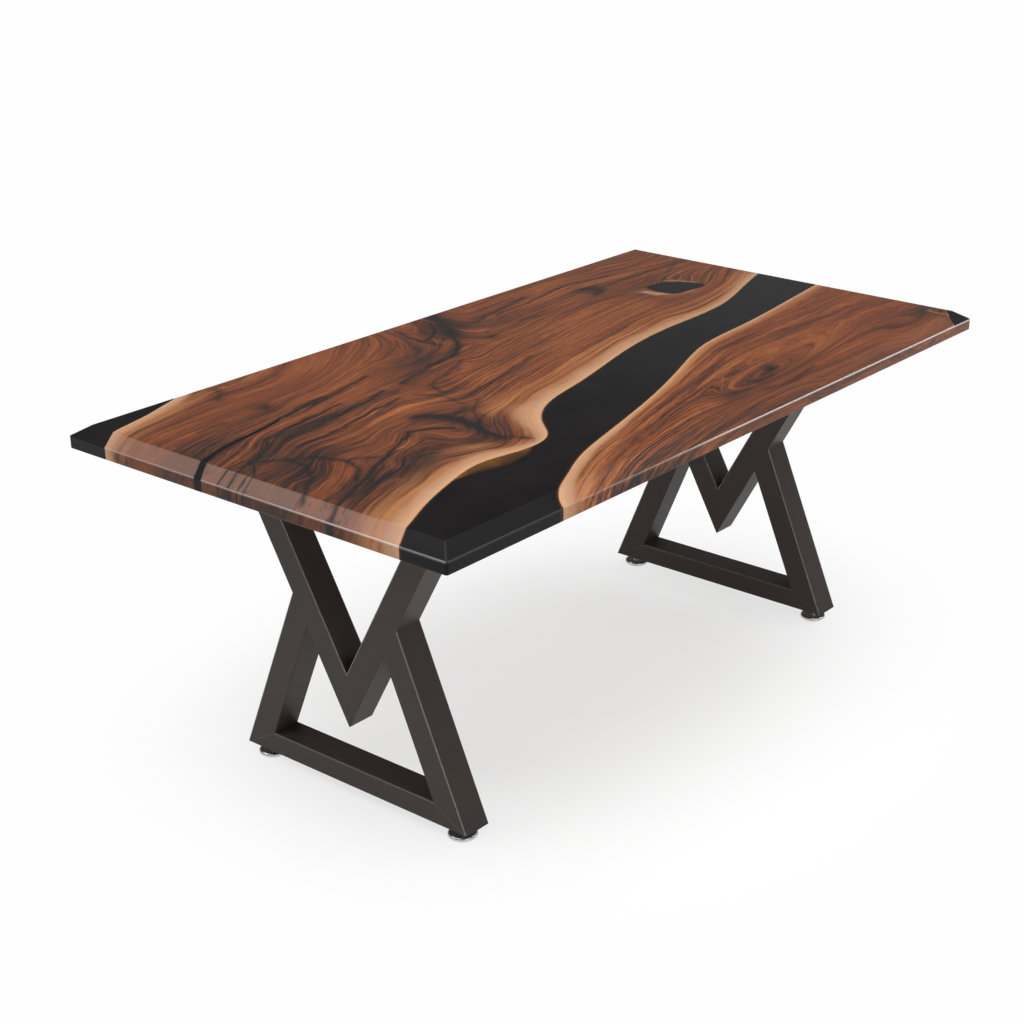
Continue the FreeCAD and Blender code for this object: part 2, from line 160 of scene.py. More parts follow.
# Lines of equal growth on the main slab, in millimetres: the ring's value at the live edge, and then for
# each line its ring's value and points along it
MAIN_EDGE_RING = -88
MAIN_RINGS = [
    (-35, [(-900, -305), (-700, -232), (-550, -210), (-470, -238), (-395, -200), (-300, -112), (-200, -78),
           (0, -38), (200, 8), (400, 42), (600, 40), (750, 75), (900, 128)]),
    (10, [(-880, -208), (-800, -180), (-700, -132), (-620, -95), (-520, -52), (-440, -120), (-340, -75)]),
    (30, [(-300, -58), (-200, -30), (-100, -6), (0, 18), (200, 52), (400, 86), (540, 92), (760, 116),
          (900, 172)]),
    (60, [(-880, -120), (-780, -70), (-600, -35), (-500, 5)]),
    (90, [(-860, -40), (-700, 12), (-600, 20), (-500, 42), (-400, 52), (-300, 6), (-200, 27), (-100, 51),
          (0, 75), (100, 91), (200, 107), (300, 124), (400, 140), (500, 148)]),
    (150, [(-880, 22), (-700, 62), (-600, 66), (-500, 86), (-400, 106), (-300, 92), (-200, 118),
           (-100, 110), (0, 127), (100, 145), (200, 160), (300, 172), (400, 185), (500, 192)]),
    (210, [(-880, 62), (-760, 92), (-700, 139), (-600, 155), (-500, 170), (-400, 185), (-300, 195),
           (-200, 203), (-100, 207), (0, 214), (100, 223), (200, 235), (300, 246), (400, 256), (520, 262)]),
    (240, [(-900, 122), (-800, 165), (-700, 190), (-600, 204), (-500, 226), (-400, 240), (-300, 270),
           (-200, 284), (-120, 308), (-60, 348), (0, 415), (28, 470)]),
    (290, [(-800, 250), (-700, 262), (-600, 270), (-500, 285), (-400, 302), (-300, 336), (-200, 386),
           (-130, 450)]),
    (300, [(120, 285), (200, 295), (300, 303), (400, 312), (500, 322), (600, 316), (700, 312), (800, 304),
           (890, 300)]),
    (330, [(-830, 310), (-700, 315), (-600, 318), (-500, 322), (-420, 336), (-330, 376), (-260, 426)]),
    (360, [(112, 350), (200, 356), (300, 354), (400, 367), (480, 376), (600, 352), (700, 334), (800, 336)]),
    (410, [(-895, 378), (-763, 418), (-702, 440), (-652, 462)]),
    (430, [(150, 440), (300, 440), (500, 440), (700, 432), (880, 422)]),
]

# On the narrow slab the growth follows the live edge, and turns level within this reach from it, in metres.
LEVEL_REACH = 0.30
LEVEL_LINE = -0.30

# Knots and burls that the growth lines run round: place, length, width, turn in degrees and height, in mm
MAIN_KNOTS = [
    (-818, 60, 34, 20, 10, 14), (-790, -78, 60, 30, 40, 10), (-660, -160, 62, 24, 32, 8),
    (-690, -30, 46, 30, 60, -5), (-400, 55, 95, 30, 4, 18), (-560, 30, 130, 22, 6, 12),
    (-425, -110, 46, 60, 70, -5), (-205, 100, 90, 40, 14, 22), (-135, 165, 40, 22, 10, -14),
    (-160, 285, 80, 26, 16, 10), (50, 240, 30, 18, 8, 14), (20, 350, 50, 90, -35, -24),
    (490, 300, 70, 28, 10, 26), (640, 168, 92, 66, -20, 70), (330, 385, 110, 24, 4, 16),
    (-590, 268, 40, 24, 8, 12), (-640, 430, 60, 24, 18, 14),
]
NARROW_KNOTS = [
    (205, -386, 190, 44, 5, 92), (243, -368, 34, 13, 8, 8), (470, -350, 160, 50, 4, 26),
    (-420, -450, 120, 18, 24, 10), (700, -455, 110, 40, 10, 30),
]

# Lighter, darker and quieter patches: place, length, width, turn in degrees and strength.
# Below zero, a quieter patch is a livelier one.
MAIN_LIGHT = [
    (-415, 55, 95, 34, 6, 0.75), (-560, 40, 130, 24, 8, 0.35), (-860, -70, 40, 70, 20, 0.35),
    (-300, 395, 130, 60, 35, 0.45), (-240, -60, 160, 34, 16, 0.55), (-30, -15, 180, 30, 12, 0.40),
    (450, 105, 110, 60, 4, 0.40), (780, 240, 90, 40, 20, 0.30), (-820, 310, 70, 50, 12, 0.35),
    (-175, 95, 60, 40, 14, 0.40), (640, 60, 160, 26, 8, 0.35), (-790, 100, 80, 22, 14, 0.30),
    (250, 120, 160, 40, 8, 0.25), (-560, 235, 160, 20, 8, 0.25), (-810, -240, 120, 24, 16, 0.30),
    (-517, 110, 110, 50, 8, 0.30), (335, 157, 140, 50, 8, 0.22),
]
MAIN_DARK = [
    (-860, 0, 280, 340, 0, 0.75),
    (-430, -120, 60, 90, 60, 0.75), (-350, -80, 50, 60, 20, 0.40), (-740, -170, 130, 34, 16, 0.50),
    (-620, 122, 100, 22, 6, 0.50), (-490, 136, 90, 14, 6, 0.40), (-150, 262, 130, 60, 14, 0.50),
    (40, 385, 44, 90, -28, 0.80), (150, 360, 90, 24, 8, 0.45), (320, 388, 80, 18, 4, 0.45),
    (490, 300, 62, 34, 10, 0.65), (-640, 440, 70, 30, 10, 0.45), (640, 235, 90, 40, -20, 0.35),
    (-720, 20, 60, 50, 50, 0.35), (250, 268, 60, 26, 4, 0.35), (-240, 205, 110, 18, 8, 0.45),
    (-270, 60, 50, 60, 40, 0.25), (840, 300, 50, 24, -10, 0.40), (-590, 270, 30, 22, 8, 0.45),
    (530, 150, 30, 60, 0, 0.30), (-600, -175, 90, 16, 24, 0.45), (-460, -200, 60, 26, -16, 0.35),
    (-119, 237, 130, 50, 14, 0.30),
]
MAIN_QUIET = [
    (-290, 400, 240, 110, 24, 0.50), (-640, 310, 230, 100, 8, 0.40), (-330, 215, 200, 40, 8, 0.30),
]
NARROW_QUIET = [
    (-400, -440, 240, 70, 18, -1.60), (-60, -380, 220, 60, 16, -1.10), (170, -300, 160, 60, 10, -0.60),
]
NARROW_LIGHT = [
    (-420, -430, 170, 26, 22, 0.60), (-200, -370, 170, 22, 16, 0.30), (350, -290, 70, 34, 6, 0.45),
    (440, -375, 90, 34, 4, 0.35), (-60, -400, 90, 26, 12, 0.35), (650, -330, 120, 60, 0, 0.05),
    (20, -455, 160, 14, 4, 0.30), (-330, -440, 240, 40, 14, 0.20), (-100, -420, 180, 50, 14, 0.18),
    (550, -327, 170, 70, 4, 0.22),
]
NARROW_DARK = [
    (838, -446, 26, 40, 0, 0.70), (800, -420, 40, 16, 30, 0.35),
    (150, -400, 320, 90, 6, 0.32), (-50, -480, 620, 20, 0, 0.25),
    (190, -390, 90, 22, 8, 0.35), (243, -366, 26, 16, 8, 0.75), (-80, -330, 150, 9, 14, 0.40),
    (80, -300, 120, 12, 18, 0.35), (330, -212, 120, 14, 10, 0.40), (520, -255, 160, 18, 4, 0.25),
    (60, -405, 60, 26, 20, 0.35), (820, -400, 80, 30, 20, 0.25), (-150, -480, 200, 12, 2, 0.50),
]

# Dark veins and closed cracks, in millimetres: half width, strength, then points
MAIN_VEINS = [
    (6, 0.75, [(-885, -138), (-800, -75), (-765, -20), (-768, 30), (-815, 62)]),
    (6, 0.70, [(-768, 25), (-722, -12), (-703, -62), (-718, -112), (-765, -152)]),
    (5, 0.60, [(-703, -62), (-655, -95), (-625, -98)]),
    (9, 0.85, [(-900, -218), (-800, -182), (-735, -158)]),
    (8, 0.95, [(-735, -158), (-690, -125), (-610, -92)]),
    (6, 0.85, [(-610, -92), (-520, -50), (-480, -68), (-448, -98)]),
    (18, 1.0, [(-446, 0), (-420, -18), (-404, -60), (-412, -112)]),
    (11, 1.0, [(-412, -112), (-428, -165), (-431, -205)]),
    (7, 0.60, [(-408, -70), (-388, -40), (-345, -38)]),
    (5, 0.50, [(-402, -150), (-378, -92), (-345, -56), (-290, -22)]),
    (5, 0.60, [(-418, -205), (-398, -252)]),
    (6, 0.60, [(-700, -198), (-640, -170), (-560, -128)]),
    (7, 0.95, [(-616, 203), (-540, 216), (-470, 226)]),
    (5, 0.80, [(-470, 226), (-400, 238), (-320, 255)]),
    (7, 0.80, [(-815, 62), (-760, 92), (-712, 134), (-600, 155), (-480, 173)]),
    (5, 0.80, [(-705, 60), (-620, 62), (-540, 78), (-385, 107)]),
    (6, 0.75, [(-580, 126), (-480, 134), (-430, 143), (-370, 164)]),
    (5, 0.60, [(-305, 4), (-200, 28), (0, 76)]),
    (5, 0.45, [(-345, 98), (-322, 60), (-326, -20)]),
    (6, 0.55, [(-300, 62), (-285, 106), (-250, 130), (-200, 140), (-128, 168)]),
    (4, 0.35, [(-100, 108), (0, 126), (110, 147)]),
    (8, 0.80, [(-310, 172), (-200, 198), (-100, 214)]),
    (9, 0.90, [(-100, 214), (-58, 240), (-18, 282), (4, 315)]),
    (26, 0.85, [(4, 315), (38, 350), (60, 400), (100, 478)]),
    (6, 0.80, [(38, 408), (2, 364), (-35, 341), (-72, 328)]),
    (6, 0.75, [(-54, 425), (-63, 378), (-73, 330), (-64, 285)]),
    (5, 0.45, [(-132, 342), (-104, 380)]),
    (9, 0.60, [(108, 340), (160, 356), (220, 367), (340, 388)]),
    (4, 0.65, [(195, 351), (300, 350), (480, 377), (620, 348)]),
    (4, 0.50, [(620, 348), (740, 326), (872, 304)]),
    (5, 0.50, [(100, 275), (170, 279), (246, 262)]),
    (4, 0.45, [(66, 270), (150, 285), (400, 306), (470, 312)]),
    (4, 0.45, [(540, 296), (690, 312), (800, 302)]),
    (4, 0.45, [(735, 262), (800, 286), (845, 314)]),
    (17, 0.75, [(482, 318), (508, 306)]),
    (13, 0.75, [(470, 272), (505, 288)]),
    (11, 0.70, [(48, 239), (58, 243)]),
    (15, 0.50, [(-594, 262), (-586, 276)]),
    (10, 0.50, [(-572, 442), (-586, 408), (-612, 388)]),
    (9, 0.50, [(-546, 438), (-494, 446)]),
    (3, 0.60, [(-768, 262), (-700, 271)]),
    (7, 0.80, [(-900, 119), (-868, 136), (-830, 152), (-770, 168), (-698, 180), (-616, 203)]),
    (2.6, 0.90, [(-902, 36), (-862, 50), (-815, 62)]),
    (2.2, 0.85, [(-902, 62), (-858, 76), (-822, 82)]),
    (2.2, 0.85, [(-902, 14), (-850, 26), (-808, 58)]),
    (2.0, 0.80, [(-902, -2), (-868, 6), (-836, 36)]),
    (7, 0.80, [(-826, 56), (-812, 68)]),
]
NARROW_PALE_LINES = [
    (4, 0.35, [(846, -470), (830, -440), (840, -410)]),
]
MAIN_PALE_LINES = [
    (8, 0.85, [(556, 196), (560, 160), (588, 138), (632, 124)]),
    (5, 0.40, [(700, 150), (694, 190), (668, 216)]),
]
NARROW_VEINS = [
    (4, 0.55, [(120, -432), (160, -446), (215, -449), (310, -430)]),
    (12, 0.70, [(238, -370), (250, -362)]),
    (16, 0.45, [(150, -392), (215, -380)]),
    (5, 0.30, [(-110, -333), (0, -314), (130, -292), (230, -262)]),
    (4, 0.35, [(260, -206), (380, -212), (520, -232)]),
]


class TopSizes(bpy.types.PropertyGroup):
    length: FloatProperty(name="Length", description="Length of the top along X", unit="LENGTH",
                          default=CAD_BOX[1][0] - CAD_BOX[0][0])
    width: FloatProperty(name="Width", description="Width of the top along Y", unit="LENGTH",
                         default=CAD_BOX[1][1] - CAD_BOX[0][1])
    height: FloatProperty(name="Height", description="Height of the top face over the floor",
                          unit="LENGTH", default=SLAB_HIGH.z)
    underside: FloatProperty(name="Underside", description="Height of the top's underside", unit="LENGTH",
                             default=SLAB_LOW.z)
    bevel_width: FloatProperty(name="Bevel width", description="Width of the bevel, seen from above",
                               unit="LENGTH", default=0.032)
    bevel_drop: FloatProperty(name="Bevel drop", description="How far the bevel falls to the outer ridge",
                              unit="LENGTH", default=0.020)
    corner_round: FloatProperty(name="Corner round", unit="LENGTH", default=0.005,
                                description="Radius of the top's corners, seen from above")
    hip_round: FloatProperty(name="Hip round", description="Radius of the bevel's corners at the top face",
                             unit="LENGTH", default=0.002)
    edge_round: FloatProperty(name="Edge round", description="Radius of the outer ridge and lower edge",
                              unit="LENGTH", default=0.0015)
    live_edge_lean: FloatProperty(name="Live edge lean", unit="LENGTH", default=0.026,
                                  description="How far the live edges run out under the resin")
    step: FloatProperty(name="Grid step", description="Distance between the grid's points on the top",
                        unit="LENGTH", default=0.0053)
    wood_sink: FloatProperty(name="Wood sink", unit="LENGTH", default=0.00012,
                             description="How far the wood lies below the resin that fills its cracks")


class WalnutLook(bpy.types.PropertyGroup):
    heart: FloatVectorProperty(name="Heartwood", description="Middle tone of the heartwood",
                               subtype="COLOR", default=(0.180, 0.047, 0.014))
    heart_light: FloatVectorProperty(name="Light heartwood", description="Orange tone between the streaks",
                                     subtype="COLOR", default=(0.322, 0.107, 0.031))
    heart_dark: FloatVectorProperty(name="Dark heartwood", description="Tone of the dark growth lines",
                                    subtype="COLOR", default=(0.052, 0.019, 0.011))
    vein: FloatVectorProperty(name="Vein", description="Tone of the veins and closed cracks",
                              subtype="COLOR", default=(0.010, 0.0075, 0.0075))
    sapwood: FloatVectorProperty(name="Sapwood", description="Pale wood at the live edges", subtype="COLOR",
                                 default=(0.430, 0.236, 0.132))
    sap_gold: FloatVectorProperty(name="Gold band", description="Band between sapwood and heartwood",
                                  subtype="COLOR", default=(0.37, 0.155, 0.058))
    # Painted sheen: the pale reflection that the bevels show
    bevel_sheen: FloatVectorProperty(name="Bloom", description="Milky bloom of the finish on the bevels",
                               subtype="COLOR", default=(0.27, 0.150, 0.112))
    bark: FloatVectorProperty(name="Bark line", description="Thin brown line where wood meets resin",
                              subtype="COLOR", default=(0.085, 0.042, 0.018))
    # Painted highlight: the light line that the outer ridge catches
    ridge_highlight: FloatVectorProperty(name="Worn edge", description="Polished line along the outer ridge",
                                   subtype="COLOR", default=(0.80, 0.70, 0.66))
    roughness: FloatProperty(name="Roughness", description="Roughness of the oiled wood", subtype="FACTOR",
                             default=0.32, min=0, max=1)


class ResinLook(bpy.types.PropertyGroup):
    body: FloatVectorProperty(name="Resin", description="Colour of the cast resin", subtype="COLOR",
                              default=(0.0064, 0.0057, 0.0056))
    # Painted reflection that lightens the resin towards the right end
    right_end_sheen: FloatVectorProperty(name="Dull resin", description="Colour of the less polished right end",
                              subtype="COLOR", default=(0.020, 0.019, 0.019))
    glow: FloatVectorProperty(name="Edge glow", subtype="COLOR", default=(0.150, 0.064, 0.016),
                              description="Wood seen through thin resin at the live edges")
    # Painted highlight: the light line that the resin's outer ridge catches
    ridge_highlight: FloatVectorProperty(name="Worn edge", description="Polished line along the outer ridge",
                                   subtype="COLOR", default=(0.36, 0.36, 0.37))
    roughness: FloatProperty(name="Roughness", description="Roughness of the polished resin",
                             subtype="FACTOR", default=0.22, min=0, max=1)


class MetalLook(bpy.types.PropertyGroup):
    powder: FloatVectorProperty(name="Powder coat", description="Colour of the leg tubes", subtype="COLOR",
                                default=(0.051, 0.041, 0.035))
    zinc: FloatVectorProperty(name="Zinc", description="Colour of bolts, washers, nuts and studs",
                              subtype="COLOR", default=(0.58, 0.58, 0.60))
    brass: FloatVectorProperty(name="Brass", description="Colour of the threaded inserts", subtype="COLOR",
                               default=(0.62, 0.44, 0.19))
    chrome: FloatVectorProperty(name="Chrome", description="Colour of the foot pads", subtype="COLOR",
                                default=(0.64, 0.63, 0.62))
    thread_pitch: FloatProperty(name="Thread pitch", description="Rise of the studs' thread in one turn",
                                unit="LENGTH", default=0.0015)
    collar_flats: FloatProperty(name="Collar", description="Hexagon collar across its flats", unit="LENGTH",
                                default=0.017)
    collar_height: FloatProperty(name="Collar height", description="Height of the hexagon collar",
                                 unit="LENGTH", default=0.006)
    rubber: FloatVectorProperty(name="Rubber", description="Colour of the glides", subtype="COLOR",
                                default=(0.020, 0.020, 0.021))


class StageLook(bpy.types.PropertyGroup):
    floor: FloatVectorProperty(name="Floor", description="Colour of the floor", subtype="COLOR",
                               default=(0.96, 0.955, 0.955))
    clear_radius: FloatProperty(name="Shadow reach", unit="LENGTH", default=0.30,
                                description="Radius where the floor starts to turn white")
    fade: FloatProperty(name="Fade", description="Width of the turn to white", unit="LENGTH", default=0.72)
    key_power: FloatProperty(name="Key", description="Power of the large soft lamp", unit="POWER",
                             default=76.0)
    strip_power: FloatProperty(name="Strips", description="Power of each strip lamp that draws the ridges",
                               unit="POWER", default=16.0)
    fill_power: FloatProperty(name="Fill", description="Power of the lamp beside the camera", unit="POWER",
                              default=16.0)
    eye: FloatVectorProperty(name="Camera place", description="Where the camera stands",
                             subtype="TRANSLATION", default=(-2.982014, -2.42539, 1.96862))
    azimuth: FloatProperty(name="Azimuth", description="Turn of the camera about Z", subtype="ANGLE",
                           default=math.radians(-51.492))
    elevation: FloatProperty(name="Elevation", description="Angle of the view below level", subtype="ANGLE",
                             default=math.radians(23.178))
    focal: FloatProperty(name="Focal length", description="Focal length on a 36 mm sensor", default=66.72)
    shift: FloatVectorProperty(name="Shift", description="Shift of the picture", size=2,
                               default=(-0.0668, 0.0355))


# Curves and surfaces

def smooth_curve(points, count=1600):
    """Natural cubic spline through the points, paced by the distances between them."""
    points = np.asarray(points, float)
    steps = np.diff(points, axis=0)
    gaps = np.linalg.norm(steps[:, :2], axis=1)
    pace = np.concatenate([[0.0], np.cumsum(gaps)])
    size = len(points)
    inner = np.arange(1, size - 1)
    system = np.eye(size)
    system[inner, inner - 1] = gaps[:-1]
    system[inner, inner] = 2 * (gaps[:-1] + gaps[1:])
    system[inner, inner + 1] = gaps[1:]
    slopes = steps / gaps[:, None]
    right = np.zeros_like(points)
    right[1:-1] = 6 * (slopes[1:] - slopes[:-1])
    bend = np.linalg.solve(system, right)
    place = np.linspace(0.0, pace[-1], count)
    span = np.clip(np.searchsorted(pace, place, side="right") - 1, 0, size - 2)
    gap = gaps[span][:, None]
    ahead = (pace[span + 1] - place)[:, None]
    behind = (place - pace[span])[:, None]
    curve = (bend[span] * ahead ** 3 + bend[span + 1] * behind ** 3) / (6 * gap)
    curve += (points[span] / gap - bend[span] * gap / 6) * ahead
    return curve + (points[span + 1] / gap - bend[span + 1] * gap / 6) * behind


def bank_curve(shares, sizes):
    """Live edge on the top face: x, y and lean towards the resin at the underside, in metres."""
    return smooth_curve(shares * [sizes.length, sizes.width, sizes.live_edge_lean])


def along(curve, x, column=1):
    """Value of a curve's column at each x."""
    return np.interp(x, curve[:, 0], curve[:, column])


def edge_height(inset, sizes):
    """Height of the top at a distance from its edge: an arc at the ridge, then the bevel, then the flat.
    The bevel turns into the flat by a soft minimum."""
    radius = sizes.edge_round
    ridge = sizes.height - sizes.bevel_drop
    slope = sizes.bevel_drop / sizes.bevel_width
    lean = math.hypot(1.0, slope)
    centre = ridge + slope * radius - radius * lean
    touch = radius - radius * slope / lean
    arc = centre + np.sqrt(np.clip(radius ** 2 - (radius - inset) ** 2, 0, None))
    soft = 0.00025
    over = (ridge + slope * inset - sizes.height) / soft
    bevel = sizes.height - soft * np.logaddexp(0, -over)
    return np.where(inset < touch, arc, bevel)


def top_height(x, y, sizes):
    inset = np.minimum(sizes.length / 2 - np.abs(x), sizes.width / 2 - np.abs(y))
    return edge_height(np.clip(inset, 0, None), sizes)


def round_corners(x, y, sizes, sink=0.0):
    """Plan with rounded corners: on each line of equal distance from the edges, the stretch that lies
    within the corner's radius moves onto an arc. The radius shrinks from the outer edge to the flat top."""
    half_length = sizes.length / 2 - sink
    half_width = sizes.width / 2 - sink
    from_end = half_length - np.abs(x)
    from_side = half_width - np.abs(y)
    inset = np.minimum(from_end, from_side)
    share = np.clip(inset / sizes.bevel_width, 0, 1)
    radius = sizes.corner_round + (sizes.hip_round - sizes.corner_round) * share
    along_x = inset + radius - from_end
    along_y = inset + radius - from_side
    scale = np.where((along_x > 0) & (along_y > 0), radius / np.hypot(along_x, along_y), 1.0)
    new_end = inset + radius - along_x * scale
    new_side = inset + radius - along_y * scale
    return np.sign(x) * (half_length - new_end), np.sign(y) * (half_width - new_side)


def stations(low, high, step):
    """Places from low to high, a step apart and closer at both ends."""
    inner = np.arange(low + EDGE_ROWS[-1], high - EDGE_ROWS[-1], step)
    return np.unique(np.concatenate([low + EDGE_ROWS, inner, high - EDGE_ROWS]))


def rows_between(low, high, count, close_low, close_high):
    """Grid of y values from low to high at each station, closer beside a bevelled edge."""
    width = high - low
    squeeze = np.minimum(1.0, width / (2 * EDGE_ROWS[-1]))
    near_low = np.outer(squeeze, EDGE_ROWS) if close_low else np.zeros((len(low), 1))
    near_high = np.outer(squeeze, EDGE_ROWS) if close_high else np.zeros((len(low), 1))
    start = low + near_low[:, -1]
    end = high - near_high[:, -1]
    share = np.linspace(0, 1, count)[None, 1:-1]
    middle = start[:, None] + share * (end - start)[:, None]
    return np.concatenate([low[:, None] + near_low, middle, (high[:, None] - near_high)[:, ::-1]], axis=1)


def slab(name, x, rows, lean_low, lean_high, sizes, sink=0.0):
    """Closed slab: the top face is a grid of x stations and y rows, whose rim drops to the underside.
    The grid's triangles follow the mitre of the bevels at the corners. On its way down the rim follows the
    lean of its two long sides and is rounded at the lower edge."""
    count_x, count_y = rows.shape
    xs = np.repeat(x[:, None], count_y, axis=1)
    flat = np.stack([xs, rows, top_height(xs, rows, sizes) - sink], axis=-1)
    top = np.stack([*round_corners(xs, rows, sizes, sink), flat[..., 2]], axis=-1)
    numbers = np.arange(count_x * count_y).reshape(count_x, count_y)
    corners = np.stack([numbers[:-1, :-1], numbers[1:, :-1], numbers[1:, 1:], numbers[:-1, 1:]], axis=-1)
    corners = corners.reshape(-1, 4)
    mitre = (top[:-1, :-1, 0] * top[:-1, :-1, 1]).reshape(-1, 1, 1) > 0
    faces = np.where(mitre, corners[:, [[0, 1, 2], [0, 2, 3]]], corners[:, [[0, 1, 3], [1, 2, 3]]])
    faces = faces.reshape(-1, 3)
    rim = np.concatenate([numbers[:-1, 0], numbers[-1, :-1], numbers[:0:-1, -1], numbers[0, :0:-1]])
    rim_points = flat.reshape(-1, 3)[rim]
    share = (rim % count_y) / (count_y - 1)
    lean = np.interp(rim_points[:, 0], x, lean_low) * (1 - share)
    lean += np.interp(rim_points[:, 0], x, lean_high) * share
    drops = np.concatenate([[0.015, 0.03], np.linspace(0, 1, 7)[1:]])[:, None]
    round_steps = np.radians([18, 36, 54, 72, 90])[:, None]
    radius = sizes.edge_round
    low = sizes.underside + sink + radius
    heights = np.concatenate([rim_points[:, 2] + (low - rim_points[:, 2]) * drops,
                              np.repeat(low - radius * np.sin(round_steps), len(rim), axis=1)])
    insets = np.concatenate([np.zeros_like(drops), radius * (1 - np.cos(round_steps))])
    fall = np.clip((sizes.height - heights) / (sizes.height - sizes.underside), 0, 1)
    half = np.array([sizes.length, sizes.width]) / 2 - sink
    wall_x = np.clip(rim_points[:, 0], insets - half[0], half[0] - insets)
    wall_y = np.clip(rim_points[:, 1] + lean * fall, insets - half[1], half[1] - insets)
    wall = np.stack([*round_corners(wall_x, wall_y, sizes, sink), heights], axis=-1)
    rings = np.concatenate([rim[None], numbers.size + np.arange(heights.size).reshape(heights.shape)])
    after = np.roll(rings, -1, axis=1)
    sides = np.stack([rings[:-1], rings[1:], after[1:], after[:-1]], axis=-1).reshape(-1, 4)
    points = np.concatenate([top.reshape(-1, 3), wall.reshape(-1, 3)])
    polygons = faces.tolist() + sides.tolist() + [rings[-1, ::-1].tolist()]
    return new_mesh(name, points, polygons)


def new_mesh(name, points, polygons, sharp=math.radians(25)):
    """Mesh object at the origin from whole arrays, smooth except at sharp edges."""
    mesh = bpy.data.meshes.new(name)
    mesh.from_pydata(points, [], polygons, shade_flat=False)
    mesh.set_sharp_from_angle(angle=sharp)
    if mesh.validate():
        raise RuntimeError(f"{name} has broken faces")
    made = bpy.data.objects.new(name, mesh)
    bpy.context.scene.collection.objects.link(made)
    return made


def screw_foot_stud(name, low, high, collar_flats, collar_top, pivot_top, pitch):
    """Stud turned about Z: its radius is a circle on the pivot, a hexagon on the collar and a circle with a
    helical groove on the thread, where the groove's depth follows the cosine of turn less height."""
    middle = (low + high) / 2
    thread = 0.005
    groove = 0.0009
    pivot = 0.8 * thread
    rows = (6, 8, 290)
    levels = (low.z, pivot_top, collar_top, high.z)
    heights = [np.linspace(*ends, count) for *ends, count in zip(levels, levels[1:], rows)]
    heights = np.concatenate(heights)[:, None]
    kind = np.repeat([0, 1, 2], rows)[:, None]
    turn = np.linspace(0, 2 * np.pi, 48, endpoint=False)[None]
    hexagon = collar_flats / 2 / np.cos((turn + np.pi / 6) % (np.pi / 3) - np.pi / 6)
    ease = np.minimum(1.0, (high.z - heights) / (2 * pitch))
    helix = thread - groove * (0.5 - 0.5 * np.cos(turn - 2 * np.pi * heights / pitch)) - groove * (1 - ease)
    radius = np.select([kind == 0, kind == 1], [pivot + 0 * turn, hexagon + 0 * heights], helix)
    ring = np.stack([middle.x + radius * np.cos(turn), middle.y + radius * np.sin(turn),
                     np.repeat(heights, turn.size, axis=1)], axis=-1)
    return tube(name, ring, (middle.x, middle.y, low.z), (middle.x, middle.y, high.z))


def tube(name, rings, start, end):
    """Closed surface through rings of points, stacked upwards, with a point in the middle of each end."""
    count, around = rings.shape[:2]
    numbers = np.arange(count * around).reshape(count, around)
    after = np.roll(numbers, -1, axis=1)
    sides = np.stack([numbers[:-1], after[:-1], after[1:], numbers[1:]], axis=-1).reshape(-1, 4)
    first, last = numbers.size, numbers.size + 1
    floor = np.stack([np.full(around, first), after[0], numbers[0]], axis=-1)
    lid = np.stack([np.full(around, last), numbers[-1], after[-1]], axis=-1)
    points = np.concatenate([rings.reshape(-1, 3), [start, end]])
    return new_mesh(name, points, sides.tolist() + floor.tolist() + lid.tolist())


def points_of(piece):
    values = np.empty(len(piece.data.vertices) * 3)
    piece.data.vertices.foreach_get("co", values)
    return values.reshape(-1, 3)


def give(piece, name, values):
    """Stores one vector per point of the piece, for its material to read."""
    layer = piece.data.attributes.new(name, "FLOAT_VECTOR", "POINT")
    layer.data.foreach_set("vector", np.asarray(values, np.float32).ravel())


# Fields over the wood

def patches(points, table):
    """Sum of soft oval hills: each falls off as a bell over its length and width, turned at its place."""
    total = np.zeros(len(points))
    for x, y, length, width, turn, height in table:
        angle = math.radians(turn)
        dx = points[:, 0] - x * MM
        dy = points[:, 1] - y * MM
        forth = (dx * math.cos(angle) + dy * math.sin(angle)) / (length * MM)
        across = (dy * math.cos(angle) - dx * math.sin(angle)) / (width * MM)
        total += height * np.exp(-(forth ** 2 + across ** 2))
    return total


def nearest(points, curve, stride=2):
    """Distance in plan from each point to a curve."""
    marks = curve[::stride, :2]
    found = [np.sqrt((((part[:, None, :2] - marks[None]) ** 2).sum(-1)).min(1))
             for part in np.array_split(points, max(1, len(points) // 2500))]
    return np.concatenate(found)


def thin_plate(points, marks, values, ease=2e-4):
    """Smoothest sheet over the plan that passes close to a value at each mark."""
    def kernel(first, second):
        square = ((first[:, None] - second[None]) ** 2).sum(-1)
        return 0.5 * square * np.log(square + 1e-12)
    size = len(marks)
    plane = np.column_stack([np.ones(size), marks])
    system = np.zeros((size + 3, size + 3))
    system[:size, :size] = kernel(marks, marks) + ease * np.eye(size)
    system[:size, size:] = plane
    system[size:, :size] = plane.T
    weights = np.linalg.solve(system, np.concatenate([values, np.zeros(3)]))
    parts = np.array_split(points[:, :2], max(1, len(points) // 4000))
    bends = np.concatenate([kernel(part, marks) @ weights[:size] for part in parts])
    return bends + np.column_stack([np.ones(len(points)), points[:, :2]]) @ weights[size:]


def growth(points, rings, edge, edge_value):
    """Growth-ring value over the plan: a thin plate through the marked rings and the live edge."""
    marks = [np.array(line) * MM for _, line in rings] + [edge]
    values = [np.full(len(line), value * MM) for value, line in [*rings, (edge_value, edge)]]
    return thin_plate(points, np.concatenate(marks), np.concatenate(values))


